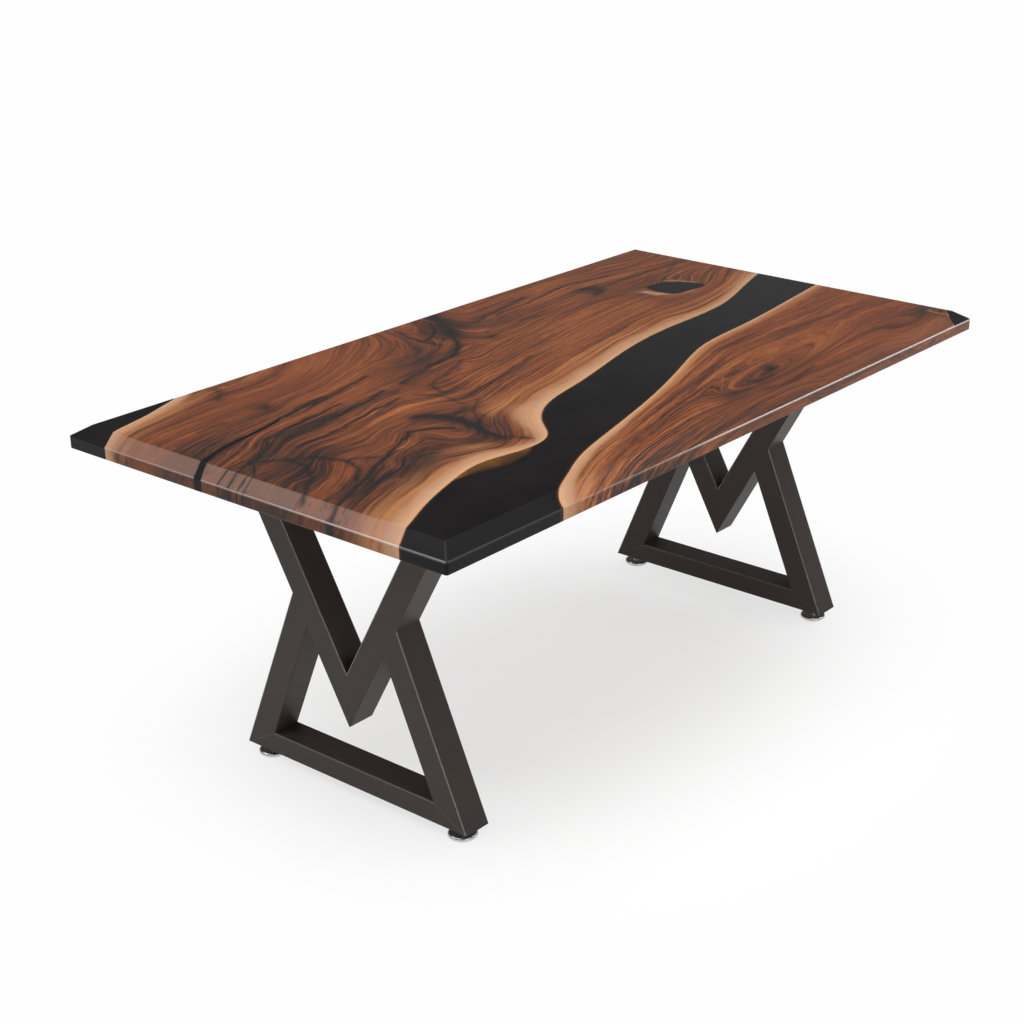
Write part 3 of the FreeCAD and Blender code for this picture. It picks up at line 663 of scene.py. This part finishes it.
def store_ridge(piece, sizes, quiet=0.0):
    """Stores the painted highlight along the outer ridge, the painted sheen on the bevels and the grain's
    quietness at each point.
    """
    line = 1.0 * MM
    soft = 0.5 * MM
    upper_fade = 1.0 * MM
    lower_fade = 2.0 * MM
    x, y, z = points_of(piece).T
    from_end = sizes.length / 2 - np.abs(x)
    from_side = sizes.width / 2 - np.abs(y)
    inset = np.minimum(from_end, from_side)
    at_end = from_end < from_side
    below = sizes.height - sizes.bevel_drop - sizes.edge_round * 0.6 - z
    # Painted highlight on the outer ridge, as strong as the light it catches there
    caught = np.where(at_end, np.interp(y, *END_SHINE), np.interp(x, *SIDE_SHINE))
    ridge = np.clip((line - np.maximum(inset, below)) / soft, 0, 1) * caught
    # Painted sheen: full on the end bevels, and on the front bevel growing towards the right end
    front = np.interp(x, (0.0, sizes.length / 2), (0.0, FRONT_SHEEN)) * (y < 0)
    bevel_sheen = np.where(at_end, 1.0, front) * np.clip((sizes.bevel_width - inset) / upper_fade, 0, 1)
    bevel_sheen *= np.clip(-below / lower_fade, 0, 1)
    give(piece, "ridge", np.column_stack([ridge, bevel_sheen, np.broadcast_to(quiet, ridge.shape)]))


def store_wood(piece, ring, sap, light, dark, quiet, sizes):
    """Stores the growth field, the patches given by their tables, and the sapwood at each point."""
    points = points_of(piece)
    store_ridge(piece, sizes, patches(points, quiet))
    give(piece, "grain", np.column_stack([points[:, 0], ring, points[:, 2] - sizes.height]))
    give(piece, "tone", np.column_stack([patches(points, light), patches(points, dark), sap]))


# Shader nodes

class Wire:
    """A node's output. Sums, differences and products of wires and numbers add the Math nodes for them."""

    def __init__(self, socket):
        self.socket = socket
        self.tree = socket.id_data

    def __add__(self, other):
        return maths("ADD", self, other)

    def __sub__(self, other):
        return maths("SUBTRACT", self, other)

    def __rsub__(self, other):
        return maths("SUBTRACT", other, self)

    def __mul__(self, other):
        return maths("MULTIPLY", self, other)


def feed(made, feeds):
    """Sets a node's inputs to values, or links them to wires."""
    for socket, value in feeds.items():
        if isinstance(value, Wire):
            value.tree.links.new(value.socket, made.inputs[socket])
        else:
            made.inputs[socket].default_value = value


def node(kind, feeds, tree=None, **settings):
    """Adds a node to the tree, or else to the tree of the wires that feed it, and sets it up."""
    tree = tree or next(value.tree for value in feeds.values() if isinstance(value, Wire))
    made = tree.nodes.new(kind)
    for name, value in settings.items():
        setattr(made, name, value)
    feed(made, feeds)
    return made


def maths(operation, *values):
    return Wire(node("ShaderNodeMath", dict(enumerate(values)), operation=operation).outputs[0])


def bounded(value, low=0.0, high=1.0):
    return maths("MINIMUM", maths("MAXIMUM", value, low), high)


def vectors(operation, *values):
    made = node("ShaderNodeVectorMath", dict(enumerate(values)), operation=operation)
    return Wire(made.outputs["Value" if operation in ("LENGTH", "DOT_PRODUCT") else "Vector"])


def noise(vector, scale, detail=2.0, roughness=0.5, output=0):
    feeds = {"Vector": vector, "Scale": scale, "Detail": detail, "Roughness": roughness}
    return Wire(node("ShaderNodeTexNoise", feeds).outputs[output])


def streaks(grain, per_metre, detail, roughness):
    """Noise with so many waves in each metre along the grain, across it and downwards."""
    return noise(vectors("MULTIPLY", grain, per_metre), 1.0, detail, roughness)


def rgba(colour):
    return (*colour, 1.0)


def blend(factor, first, second):
    """Mix of two colours, each a wire or a red, green and blue."""
    ends = [end if isinstance(end, Wire) else rgba(end) for end in (first, second)]
    return Wire(node("ShaderNodeMix", {0: factor, 6: ends[0], 7: ends[1]}, data_type="RGBA").outputs[2])


def remap(value, low, high, to_low=0.0, to_high=1.0):
    """Smooth step of a value from one range to another."""
    feeds = {"Value": value, "From Min": low, "From Max": high, "To Min": to_low, "To Max": to_high}
    return Wire(node("ShaderNodeMapRange", feeds, interpolation_type="SMOOTHSTEP", clamp=False).outputs[0])


def ramp(factor, stops):
    made = node("ShaderNodeValToRGB", {"Fac": factor})
    elements = made.color_ramp.elements
    for index, (place, colour) in enumerate(stops):
        element = elements[index] if index < 2 else elements.new(place)
        element.position = place
        element.color = rgba(colour)
    return Wire(made.outputs["Color"])


def split(vector):
    return [Wire(part) for part in node("ShaderNodeSeparateXYZ", {0: vector}).outputs]


def attribute(tree, name):
    return Wire(node("ShaderNodeAttribute", {}, tree, attribute_name=name).outputs["Vector"])


def object_point(tree):
    return Wire(node("ShaderNodeTexCoord", {}, tree).outputs["Object"])


def group(name, inputs, outputs):
    """Empty node group with named sockets: (tree, its input wires by name, its output node)."""
    tree = bpy.data.node_groups.new(name, "ShaderNodeTree")
    for way, sockets in (("INPUT", inputs), ("OUTPUT", outputs)):
        for socket, kind in sockets.items():
            tree.interface.new_socket(socket, in_out=way, socket_type=f"NodeSocket{kind}")
    given = tree.nodes.new("NodeGroupInput").outputs
    return tree, {socket: Wire(given[socket]) for socket in inputs}, tree.nodes.new("NodeGroupOutput")


def use(name, build, feeds, *looks):
    """Output wires, by name, of a shared node group, which is built when it is first used."""
    shared = bpy.data.node_groups.get(name) or build(name, *looks)
    made = node("ShaderNodeGroup", feeds, node_tree=shared)
    return {socket.name: Wire(socket) for socket in made.outputs}


def material(name, settings):
    """New material: (material, its node tree, its Principled BSDF)."""
    made = bpy.data.materials.new(name)
    made.use_nodes = True
    tree = made.node_tree
    tree.nodes.clear()
    shader = node("ShaderNodeBsdfPrincipled", settings, tree)
    node("ShaderNodeOutputMaterial", {"Surface": Wire(shader.outputs[0])})
    return made, tree, shader


def bump(shader, height, strength, distance):
    made = node("ShaderNodeBump", {"Height": height, "Strength": strength, "Distance": distance})
    feed(shader, {"Normal": Wire(made.outputs["Normal"])})


# Shared effects

def vein_group(name):
    """Mask of a straight vein: full on the line from start to end, fading out to both sides."""
    tree, given, out = group(name, {"Point": "Vector", "Start": "Vector", "Span": "Vector",
                                    "Share": "Vector", "Fall": "Float", "Depth": "Float"},
                             {"Mask": "Float"})
    away = vectors("SUBTRACT", given["Point"], given["Start"])
    share = bounded(vectors("DOT_PRODUCT", away, given["Share"]))
    foot = node("ShaderNodeVectorMath", {0: given["Span"], "Scale": share}, operation="SCALE")
    distance = vectors("LENGTH", vectors("SUBTRACT", away, Wire(foot.outputs[0])))
    left = maths("MAXIMUM", maths("MULTIPLY_ADD", distance, given["Fall"], 1.0), 0.0)
    feed(out, {"Mask": maths("MINIMUM", left * left * given["Depth"] * VEIN_GAIN, VEIN_LIMIT)})
    return tree


def veins(point, feather, table):
    """Strongest of all the veins at a point. The feather makes them narrower or wider between streaks."""
    strongest = 0.0
    for width, depth, line in table:
        fall = feather * (-1 / (VEIN_REACH * width * MM))
        corners = [Vector((x, y, 0)) * MM for x, y in line]
        for start, end in zip(corners, corners[1:]):
            span = end - start
            feeds = {"Point": point, "Start": start, "Span": span, "Share": span / span.length_squared,
                     "Fall": fall, "Depth": depth}
            strongest = maths("MAXIMUM", use("Vein", vein_group, feeds)["Mask"], strongest)
    return strongest


def walnut_group(name, look):
    """Walnut from its growth field: bands, growth lines, pores, sapwood towards the live edge, and veins.

    Sap is the distance from the live edge in widths of the sapwood. Contrast scales the heartwood's figure.
    """
    tree, given, out = group(name, {"Point": "Vector", "Grain": "Vector", "Tone": "Vector", "Vein": "Float",
                                    "Contrast": "Float"},
                             {"Color": "Color", "Roughness": "Float", "Height": "Float"})
    point = given["Point"]
    x, ring, depth = split(given["Grain"])
    light, dark, sap = split(given["Tone"])

    # Growth rings, which sway, waver and lean with depth
    sway = noise(point, 5.0) * 0.011 - 0.0055
    waver = noise(point, 26.0) * 0.0032 - 0.0016
    ring = ring + sway + depth * 0.25 + waver
    grain = Wire(node("ShaderNodeCombineXYZ", {0: x, 1: ring, 2: depth}).outputs[0])
    broad = streaks(grain, (1.1, 17.0, 6.0), 3.0, 0.55)
    bands = streaks(grain, (1.3, 62.0, 14.0), 3.0, 0.60)
    lines = streaks(grain, (3.6, 230.0, 30.0), 3.0, 0.65)
    fibre = streaks(grain, (26.0, 900.0, 110.0), 2.0, 0.60)

    # Heartwood, with a calmer figure on the end bevels
    calm = remap(maths("ABSOLUTE", x), *END_BEVELS, 1.0, END_CALM)
    calm = bounded(calm, END_CALM) * given["Contrast"]
    fine = (bands - 0.5) * 0.62 + (lines - 0.5) * 0.95 + (fibre - 0.5) * 0.64
    tone = fine * calm + (broad - 0.5) * 0.72 * given["Contrast"] + 0.5 + light * 0.24 - dark * 0.30
    colour = ramp(tone, [(0.08, look.vein), (0.28, look.heart_dark), (0.53, look.heart),
                         (0.78, look.heart_light), (1.0, look.sap_gold)])
    ridge = maths("ABSOLUTE", streaks(grain, (0.9, 34.0, 8.0), 2.0, 0.5) * 2.0 - 1.0)
    ridge = remap(ridge, 0.05, 0.0) * remap(noise(point, 4.0), 0.42, 0.64)
    colour = blend(ridge * remap(lines, 0.35, 0.65, 0.15, 0.75), colour, look.heart_dark)

    # Sapwood: pale and streaky, tawny and amber inwards, cream at the live edge
    sap = sap + (noise(point, 16.0, 3.0) - 0.5) * 0.5 * remap(sap, 0.1, 0.7)
    streaky = (fibre + lines) * 0.6
    cream = [part * 1.45 for part in look.sapwood]
    pale = blend(remap(streaky, 0.40, 0.66), look.sap_gold, look.sapwood)
    pale = blend(remap(sap, 0.95, 0.25, 0.0, 0.30), pale, look.sapwood)
    pale = blend(remap(sap, 0.35, 1.0) * (bands * 0.9 - 0.12), pale, look.sap_gold)
    pale = blend(remap(sap, 0.62, 1.0) * remap(bands, 0.38, 0.65) * 0.7, pale, look.heart_light)
    pale = blend(remap(sap, 0.42, 0.10) * remap(bands, 0.25, 0.55) * 0.5, pale, cream)

    # Gold next to the sapwood, the sapwood's ragged border, and the bark line at the resin
    gold = blend(remap(bands, 0.35, 0.65), colour, look.sap_gold)
    colour = blend(remap(sap, 2.30, 1.0), colour, gold)
    colour = blend(remap(sap + streaky * 0.9 - 0.54, 1.15, 0.42), colour, pale)
    colour = blend(remap(sap, 0.05, 0.0) * 0.8, colour, look.bark)

    pores = remap(fibre, 0.64, 0.74)
    colour = blend(pores * calm * 0.35, colour, look.heart_dark)
    feed(out, {"Color": blend(given["Vein"], colour, look.vein),
               "Roughness": (lines - 0.5) * 0.12 + look.roughness,
               "Height": lines * 0.5 - pores * 0.6})
    return tree


def walnut(name, table, pale_lines, contrast, look):
    """Walnut with its dark veins and pale lines, a painted sheen on the bevels and a painted highlight along
    the outer ridge.
    """
    made, tree, shader = material(name, {"IOR": 1.46, "Coat Weight": 0.15, "Coat Roughness": 0.16})
    point = object_point(tree)
    grain = attribute(tree, "grain")
    wander = noise(point, 20.0, 4.0, output="Color")
    wander = vectors("MULTIPLY_ADD", wander, (0.020, 0.020, 0.0), (-0.010, -0.010, 0.0))
    bent = vectors("ADD", vectors("MULTIPLY", point, (1, 1, 0)), wander)
    feather = remap(streaks(grain, (7.0, 240.0, 60.0), 3.0, 0.6), 0.32, 0.68, 0.45, 2.3)
    vein = veins(bent, feather, table)
    ridge, bevel_sheen, quiet = split(attribute(tree, "ridge"))
    wood = use("Walnut", walnut_group, {"Point": point, "Grain": grain, "Tone": attribute(tree, "tone"),
                                        "Vein": vein, "Contrast": (1.0 - quiet) * contrast}, look)
    colour = blend(veins(bent, feather, pale_lines), wood["Color"], look.sapwood)
    # Painted sheen on the bevels, kept off the veins
    colour = blend(bevel_sheen * (1.0 - vein) * BEVEL_SHEEN_SHARE, colour, look.bevel_sheen)
    # Painted highlight along the outer ridge
    feed(shader, {"Base Color": blend(ridge * WOOD_RIDGE_HIGHLIGHT, colour, look.ridge_highlight),
                  "Roughness": wood["Roughness"],
                  "Specular IOR Level": remap(split(point)[2], *RIDGE_HEIGHTS, 0.15, 0.5)})
    bump(shader, wood["Height"], 0.10, 0.0006)
    return made


def wear_group(name):
    """Uneven gloss of a handled surface: soft clouds and fine specks."""
    tree, given, out = group(name, {"Point": "Vector", "Base": "Float", "Spread": "Float",
                                    "Speck scale": "Float"},
                             {"Roughness": "Float", "Clouds": "Float", "Specks": "Float"})
    clouds = noise(given["Point"], 7.0, 4.0, 0.6)
    specks = noise(given["Point"], given["Speck scale"], 2.0, 0.6)
    both = (clouds - 0.5) + (specks - 0.5) * 0.6
    feed(out, {"Roughness": both * given["Spread"] + given["Base"], "Clouds": clouds, "Specks": specks})
    return tree


def finish(name, colour, roughness, spread, speck_scale, metallic=0.0, tint=0.12, bumpiness=0.0, ior=1.5,
           edge_highlight=0.0, edges="upper"):
    """Procedural finish: base colour with soft clouds, uneven gloss, a fine bump, and painted highlights on
    edges.

    An edge gets a painted highlight where a rounded edge's normal turns upwards from the flat face's, as if
    lit from above. Level edges are those that run across, and outer edges those that also turn away from the
    table's middle plane.
    """
    made, tree, shader = material(name, {"Metallic": metallic, "IOR": ior})
    handled = use("Handled gloss", wear_group, {"Point": object_point(tree), "Base": roughness,
                                                "Spread": spread, "Speck scale": speck_scale})
    darker = [part * (1 - tint) for part in colour]
    lighter = [min(1.0, part * (1 + tint)) for part in colour]
    base = blend(remap((handled["Specks"] + handled["Clouds"]) * 0.5, 0.3, 0.7), darker, lighter)
    # Painted highlight on rounded edges that turn upwards, where light from above would catch them
    if edge_highlight:
        rounded = Wire(node("ShaderNodeBevel", {"Radius": EDGE_HIGHLIGHT_RADIUS}, tree, samples=6).outputs[0])
        straight = Wire(node("ShaderNodeNewGeometry", {}, tree).outputs["Normal"])
        _, across, lift = split(vectors("SUBTRACT", rounded, straight))
        edge = bounded(remap(maths("MINIMUM", lift, split(rounded)[2]), 0.02, 0.09))
        if edges == "level":
            edge = edge * maths("MAXIMUM", 1.0 - maths("ABSOLUTE", across) * 6.0, 0.0)
        elif edges == "outer":
            edge = edge * maths("GREATER_THAN", across * split(object_point(tree))[1], 0.0)
        base = blend(edge * edge_highlight, base, EDGE_HIGHLIGHT_COLOUR)
    feed(shader, {"Base Color": base, "Roughness": handled["Roughness"]})
    if bumpiness:
        bump(shader, handled["Specks"], bumpiness, 0.0004)
    return made


def resin(name, look, glowing=False):
    """Dark cast resin: faint clouds, polish marks, a painted reflection, and where it glows, wood showing
    through and a painted ridge highlight.
    """
    made, tree, shader = material(name, {"IOR": 1.5, "Specular IOR Level": 0.12})
    point = object_point(tree)
    polished = use("Handled gloss", wear_group, {"Point": point, "Base": look.roughness, "Spread": 0.10,
                                                 "Speck scale": 900.0})
    lighter = [part * 1.5 for part in look.body]
    colour = blend(remap(polished["Clouds"], 0.35, 0.7), look.body, lighter)
    # Painted reflection: the resin turns lighter towards the right end
    colour = blend(remap(split(point)[0], *RIGHT_END_SHEEN_REACH), colour, look.right_end_sheen)
    if glowing:
        through, thin, _ = split(attribute(tree, "through"))
        seen = through * remap(noise(point, 14.0, 3.0), 0.35, 0.68, 0.45, 1.0)
        colour = blend(bounded(seen), colour, look.glow)
        colour = blend(thin * 0.5, colour, look.glow)
        # Painted highlight along the resin's outer ridge
        colour = blend(split(attribute(tree, "ridge"))[0] * RESIN_RIDGE_HIGHLIGHT, colour, look.ridge_highlight)
    feed(shader, {"Base Color": colour, "Roughness": polished["Roughness"]})
    return made


def dress(names, made):
    """Gives CAD nodes a material."""
    for name in names:
        mesh = frame["nodes"][name].data
        mesh.materials.clear()
        mesh.materials.append(made)


def settle(piece, body, slot, made, *replaced):
    """Gives a new piece its material and body, and hides the CAD nodes that it stands for. The slot is not
    used.
    """
    piece.data.materials.append(made)
    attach(piece, body)
    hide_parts(*replaced)


# Operators

class RIVERTABLE_OT_main_slab(bpy.types.Operator):
    """Wide walnut slab with its live edge along the river, its growth field, sapwood and veins"""
    bl_idname = "river_table.main_slab"
    bl_label = "Main walnut slab"

    def execute(self, context):
        sizes = context.scene.river_top
        river = bank_curve(MAIN_BANK_SHARES, sizes)
        corner = bank_curve(CORNER_BANK_SHARES, sizes)
        end = sizes.length / 2 - sizes.wood_sink
        rear = sizes.width / 2 - sizes.wood_sink
        x = stations(-end, end, sizes.step)
        low = along(river, x)
        high = np.where(x < corner[-1, 0], np.minimum(along(corner, x), rear), rear)
        rows = rows_between(low, high, count=164, close_low=False, close_high=True)
        piece = slab("main_slab", x, rows, -along(river, x, 2), np.zeros_like(x), sizes, sizes.wood_sink)
        points = points_of(piece)
        ring = growth(points, MAIN_RINGS, river[::60, :2], MAIN_EDGE_RING)
        ring += patches(points, MAIN_KNOTS) * MM
        main_sap = nearest(points, river) / along(MAIN_SAP, points[:, 0])
        sap = np.minimum(main_sap, nearest(points, corner) / CORNER_SAP)
        store_wood(piece, ring, sap, MAIN_LIGHT, MAIN_DARK, MAIN_QUIET, sizes)
        made = walnut("walnut_main", MAIN_VEINS, MAIN_PALE_LINES, MAIN_CONTRAST, context.scene.river_walnut)
        settle(piece, TABLE_BODY, "walnut", made, "main_walnut_slab")
        return {"FINISHED"}


class RIVERTABLE_OT_narrow_slab(bpy.types.Operator):
    """Narrow walnut slab along the front, with flame figure round its eye"""
    bl_idname = "river_table.narrow_slab"
    bl_label = "Narrow walnut slab"

    def execute(self, context):
        sizes = context.scene.river_top
        river = bank_curve(NARROW_BANK_SHARES, sizes)
        front = sizes.wood_sink - sizes.width / 2
        end = sizes.length / 2 - sizes.wood_sink
        tip = np.interp(front, river[:200, 1], river[:200, 0])
        x = np.unique(np.concatenate([tip + EDGE_ROWS[2:] * 0.5, stations(tip + 20 * MM, end, sizes.step)]))
        x = x[x > tip + 0.04 * MM]
        high = np.maximum(along(river, x), front + 0.2 * MM)
        rows = rows_between(np.full_like(x, front), high, count=90, close_low=True, close_high=False)
        piece = slab("narrow_slab", x, rows, np.zeros_like(x), along(river, x, 2), sizes, sizes.wood_sink)
        points = points_of(piece)
        off = nearest(points, river)
        level = np.clip(off / LEVEL_REACH, 0, 1)
        ring = (points[:, 1] - LEVEL_LINE) * level - off * (1 - level) + patches(points, NARROW_KNOTS) * MM
        sap = off / along(NARROW_SAP, points[:, 0])
        store_wood(piece, ring, sap, NARROW_LIGHT, NARROW_DARK, NARROW_QUIET, sizes)
        made = walnut("walnut_narrow", NARROW_VEINS, NARROW_PALE_LINES, NARROW_CONTRAST,
                      context.scene.river_walnut)
        settle(piece, TABLE_BODY, "walnut", made, "narrow_walnut_slab")
        return {"FINISHED"}


class RIVERTABLE_OT_river(bpy.types.Operator):
    """Cast resin river between the two live edges"""
    bl_idname = "river_table.river"
    bl_label = "Resin river"

    def execute(self, context):
        sizes = context.scene.river_top
        main = bank_curve(MAIN_BANK_SHARES, sizes)
        narrow = bank_curve(NARROW_BANK_SHARES, sizes)
        front = -sizes.width / 2
        x = stations(-sizes.length / 2, sizes.length / 2, sizes.step)
        low = np.where(x < narrow[0, 0], front, np.maximum(along(narrow, x), front))
        low_lean = np.where(x < narrow[0, 0], 0.0, along(narrow, x, 2))
        rows = rows_between(low, along(main, x), count=120, close_low=True, close_high=False)
        piece = slab("resin_river", x, rows, low_lean, -along(main, x, 2), sizes)
        points = points_of(piece)
        to_main = nearest(points, main)
        to_bank = np.minimum(to_main, nearest(points, narrow))
        shelf = np.interp(points[:, 0], *SHELF)
        through = np.clip(1.25 - 1.25 * to_main / (shelf + 0.001 * MM), 0, 1) ** 0.6
        thin = np.exp(-(to_bank / (2.2 * MM)) ** 2)
        give(piece, "through", np.column_stack([through, thin, np.zeros_like(thin)]))
        store_ridge(piece, sizes)
        made = resin("resin_river", context.scene.river_resin, glowing=True)
        settle(piece, TABLE_BODY, "resin", made, "river_resin")
        return {"FINISHED"}


class RIVERTABLE_OT_resin_fills(bpy.types.Operator):
    """Resin in the two corners, the knot hole and the crack"""
    bl_idname = "river_table.resin_fills"
    bl_label = "Resin fills"

    def execute(self, context):
        names = ("left_rear_corner_resin", "right_front_corner_resin", "knot_resin", "crack_resin")
        dress(names, resin("resin_fill", context.scene.river_resin))
        return {"FINISHED"}


class RIVERTABLE_OT_legs(bpy.types.Operator):
    """Powder coat on the leg tubes and top plates"""
    bl_idname = "river_table.legs"
    bl_label = "Steel legs"

    def execute(self, context):
        look = context.scene.river_metal
        # Each tube's edges that get a painted highlight, and the highlight's strength
        kinds = (("level", 0.32, ("floor_bar",)), ("outer", 0.75, ("rear_post", "front_post")),
                 ("upper", 0.6, ("rear_arm", "front_arm", "top_plate")))
        for edges, edge_highlight, tubes in kinds:
            made = finish(f"powder_coat_{edges}", look.powder, roughness=0.44, spread=0.16, speck_scale=700.0,
                          tint=0.10, bumpiness=0.10, ior=1.27, edge_highlight=edge_highlight, edges=edges)
            dress([f"{side}_leg_{tube}" for side in SIDES for tube in tubes], made)
        return {"FINISHED"}


class RIVERTABLE_OT_fasteners(bpy.types.Operator):
    """Zinc on bolts, washers and foot nuts, and brass on the threaded inserts"""
    bl_idname = "river_table.fasteners"
    bl_label = "Fasteners"

    def execute(self, context):
        look = context.scene.river_metal
        zinc = finish("zinc_plate", look.zinc, roughness=0.34, spread=0.20, speck_scale=500.0,
                      metallic=1.0, tint=0.14)
        brass = finish("turned_brass", look.brass, roughness=0.30, spread=0.16, speck_scale=500.0,
                       metallic=1.0, tint=0.14)
        dress([f"{side}_leg_{part}" for side in SIDES for part in ("bolts", "washers", "foot_nuts")], zinc)
        dress([f"{side}_leg_threaded_inserts" for side in SIDES], brass)
        return {"FINISHED"}


class RIVERTABLE_OT_feet(bpy.types.Operator):
    """Chrome foot pads on rubber glides, with threaded zinc studs"""
    bl_idname = "river_table.feet"
    bl_label = "Screw feet"

    def execute(self, context):
        look = context.scene.river_metal
        chrome = finish("chrome_pad", look.chrome, roughness=0.28, spread=0.12, speck_scale=240.0,
                        metallic=1.0, tint=0.05)
        rubber = finish("rubber_glide", look.rubber, roughness=0.75, spread=0.2, speck_scale=900.0,
                        tint=0.2, bumpiness=0.2)
        zinc = finish("zinc_stud", look.zinc, roughness=0.30, spread=0.20, speck_scale=500.0,
                      metallic=1.0, tint=0.14)
        for foot in [f"{side}_{end}" for side in SIDES for end in ENDS]:
            dress([f"{foot}_foot_pad"], chrome)
            dress([f"{foot}_foot_glide"], rubber)
            low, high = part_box(f"{foot}_foot_stud")
            pad_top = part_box(f"{foot}_foot_pad")[1].z
            stud = screw_foot_stud(f"{foot}_threaded_stud", low, high, look.collar_flats,
                                   pad_top + look.collar_height, pad_top, look.thread_pitch)
            settle(stud, f"{foot}_stud", "zinc_steel", zinc, f"{foot}_foot_stud")
        return {"FINISHED"}


class RIVERTABLE_OT_stage(bpy.types.Operator):
    """Pale floor, soft studio light and the camera"""
    bl_idname = "river_table.stage"
    bl_label = "Studio stage"

    def execute(self, context):
        look = context.scene.river_stage
        self.floor(look)
        self.world(context.scene)
        # Each lamp's name, place, target, size and power
        self.lamp("key", (-0.9, -0.6, 3.5), (0.0, 0.0, 0.4), (2.6, 2.2), look.key_power)
        self.lamp("fill", (-1.4, -3.7, 1.8), (0.0, 0.0, 0.5), (2.0, 1.6), look.fill_power)
        self.lamp("rear_strip", (-2.7, 1.9, 2.6), (-0.9, 0.0, 0.7), (1.8, 0.35), look.strip_power)
        self.lamp("side_strip", (2.2, -2.1, 2.0), (0.0, -0.4, 0.7), (1.8, 0.35), look.strip_power)
        lens = bpy.data.cameras.new("camera")
        lens.sensor_width = 36.0
        lens.lens = look.focal
        lens.shift_x, lens.shift_y = look.shift
        camera = bpy.data.objects.new("camera", lens)
        context.scene.collection.objects.link(camera)
        level = math.cos(look.elevation)
        camera.location = look.eye
        self.aim(camera, Vector((-math.sin(look.azimuth) * level, math.cos(look.azimuth) * level,
                                 -math.sin(look.elevation))))
        context.scene.camera = camera
        context.scene.view_settings.view_transform = "Standard"
        return {"FINISHED"}

    def floor(self, look):
        half = 40.0
        corners = np.array([(-half, -half, 0), (half, -half, 0), (half, half, 0), (-half, half, 0)])
        piece = new_mesh("floor", corners, [[0, 1, 2, 3]])
        made, tree, shader = material("pale_floor", {"Roughness": 0.9, "Specular IOR Level": 0.0})
        point = object_point(tree)
        paler = [min(1.0, part * 1.01) for part in look.floor]
        feed(shader, {"Base Color": blend(noise(point, 3.0, 3.0), look.floor, paler)})
        far = vectors("LENGTH", vectors("MULTIPLY", point, (0.8, 1.0, 0.0)))
        share = remap(far, look.clear_radius, look.clear_radius + look.fade) * 0.35 + 0.65
        white = node("ShaderNodeEmission", {"Color": rgba([0.99] * 3), "Strength": 1.0}, tree)
        rays = node("ShaderNodeLightPath", {}, tree).outputs
        shown = maths("MAXIMUM", Wire(rays["Is Glossy Ray"]), Wire(rays["Is Transmission Ray"]))
        shown = maths("MAXIMUM", Wire(rays["Is Camera Ray"]), shown)
        both = node("ShaderNodeMixShader", {0: share * shown, 1: Wire(shader.outputs[0]),
                                            2: Wire(white.outputs[0])})
        out = next(item for item in tree.nodes if item.type == "OUTPUT_MATERIAL")
        feed(out, {"Surface": Wire(both.outputs[0])})
        piece.data.materials.append(made)

    def world(self, scene):
        made = bpy.data.worlds.new("studio")
        made.use_nodes = True
        tree = made.node_tree
        tree.nodes.clear()
        rise = split(Wire(node("ShaderNodeTexCoord", {}, tree).outputs["Generated"]))[2]
        sky = ramp(maths("MAXIMUM", rise, 0.0), [(place, [level] * 3) for place, level in SKY])
        shown = Wire(node("ShaderNodeLightPath", {}, tree).outputs["Is Camera Ray"])
        back = node("ShaderNodeBackground", {"Color": blend(shown, sky, [1.0] * 3), "Strength": 1.0})
        node("ShaderNodeOutputWorld", {"Surface": Wire(back.outputs[0])})
        scene.world = made

    def lamp(self, name, place, target, size, power):
        data = bpy.data.lights.new(name, "AREA")
        data.shape = "RECTANGLE"
        data.size, data.size_y = size
        data.energy = power
        made = bpy.data.objects.new(name, data)
        made.location = place
        self.aim(made, Vector(target) - Vector(place))
        bpy.context.scene.collection.objects.link(made)

    def aim(self, made, ahead):
        made.rotation_euler = ahead.to_track_quat("-Z", "Y").to_euler()


class RIVERTABLE_PT_sidebar(bpy.types.Panel):
    """Lists the table's pieces and looks"""
    bl_idname = "RIVERTABLE_PT_sidebar"
    bl_label = "River table"
    bl_space_type = "VIEW_3D"
    bl_region_type = "UI"
    bl_category = "River Table"

    def draw(self, context):
        for operator in OPERATORS:
            self.layout.operator(operator.bl_idname)
        for pointer, settings in SETTINGS.items():
            box = self.layout.box()
            for name in settings.__annotations__:
                box.prop(getattr(context.scene, pointer), name)


SETTINGS = {"river_top": TopSizes, "river_walnut": WalnutLook, "river_resin": ResinLook,
            "river_metal": MetalLook, "river_stage": StageLook}
OPERATORS = (RIVERTABLE_OT_main_slab, RIVERTABLE_OT_narrow_slab, RIVERTABLE_OT_river,
             RIVERTABLE_OT_resin_fills, RIVERTABLE_OT_legs, RIVERTABLE_OT_fasteners, RIVERTABLE_OT_feet,
             RIVERTABLE_OT_stage)


def register():
    for made in (*SETTINGS.values(), *OPERATORS, RIVERTABLE_PT_sidebar):
        bpy.utils.register_class(made)
    for pointer, settings in SETTINGS.items():
        setattr(bpy.types.Scene, pointer, PointerProperty(type=settings))


def unregister():
    for pointer in SETTINGS:
        delattr(bpy.types.Scene, pointer)
    for made in (RIVERTABLE_PT_sidebar, *reversed(OPERATORS), *reversed(list(SETTINGS.values()))):
        bpy.utils.unregister_class(made)


def main():
    register()
    bpy.ops.river_table.main_slab()
    bpy.ops.river_table.narrow_slab()
    bpy.ops.river_table.river()
    bpy.ops.river_table.resin_fills()
    bpy.ops.river_table.legs()
    bpy.ops.river_table.fasteners()
    bpy.ops.river_table.feet()
    bpy.ops.river_table.stage()
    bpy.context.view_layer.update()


if __name__ == "__main__":
    main()
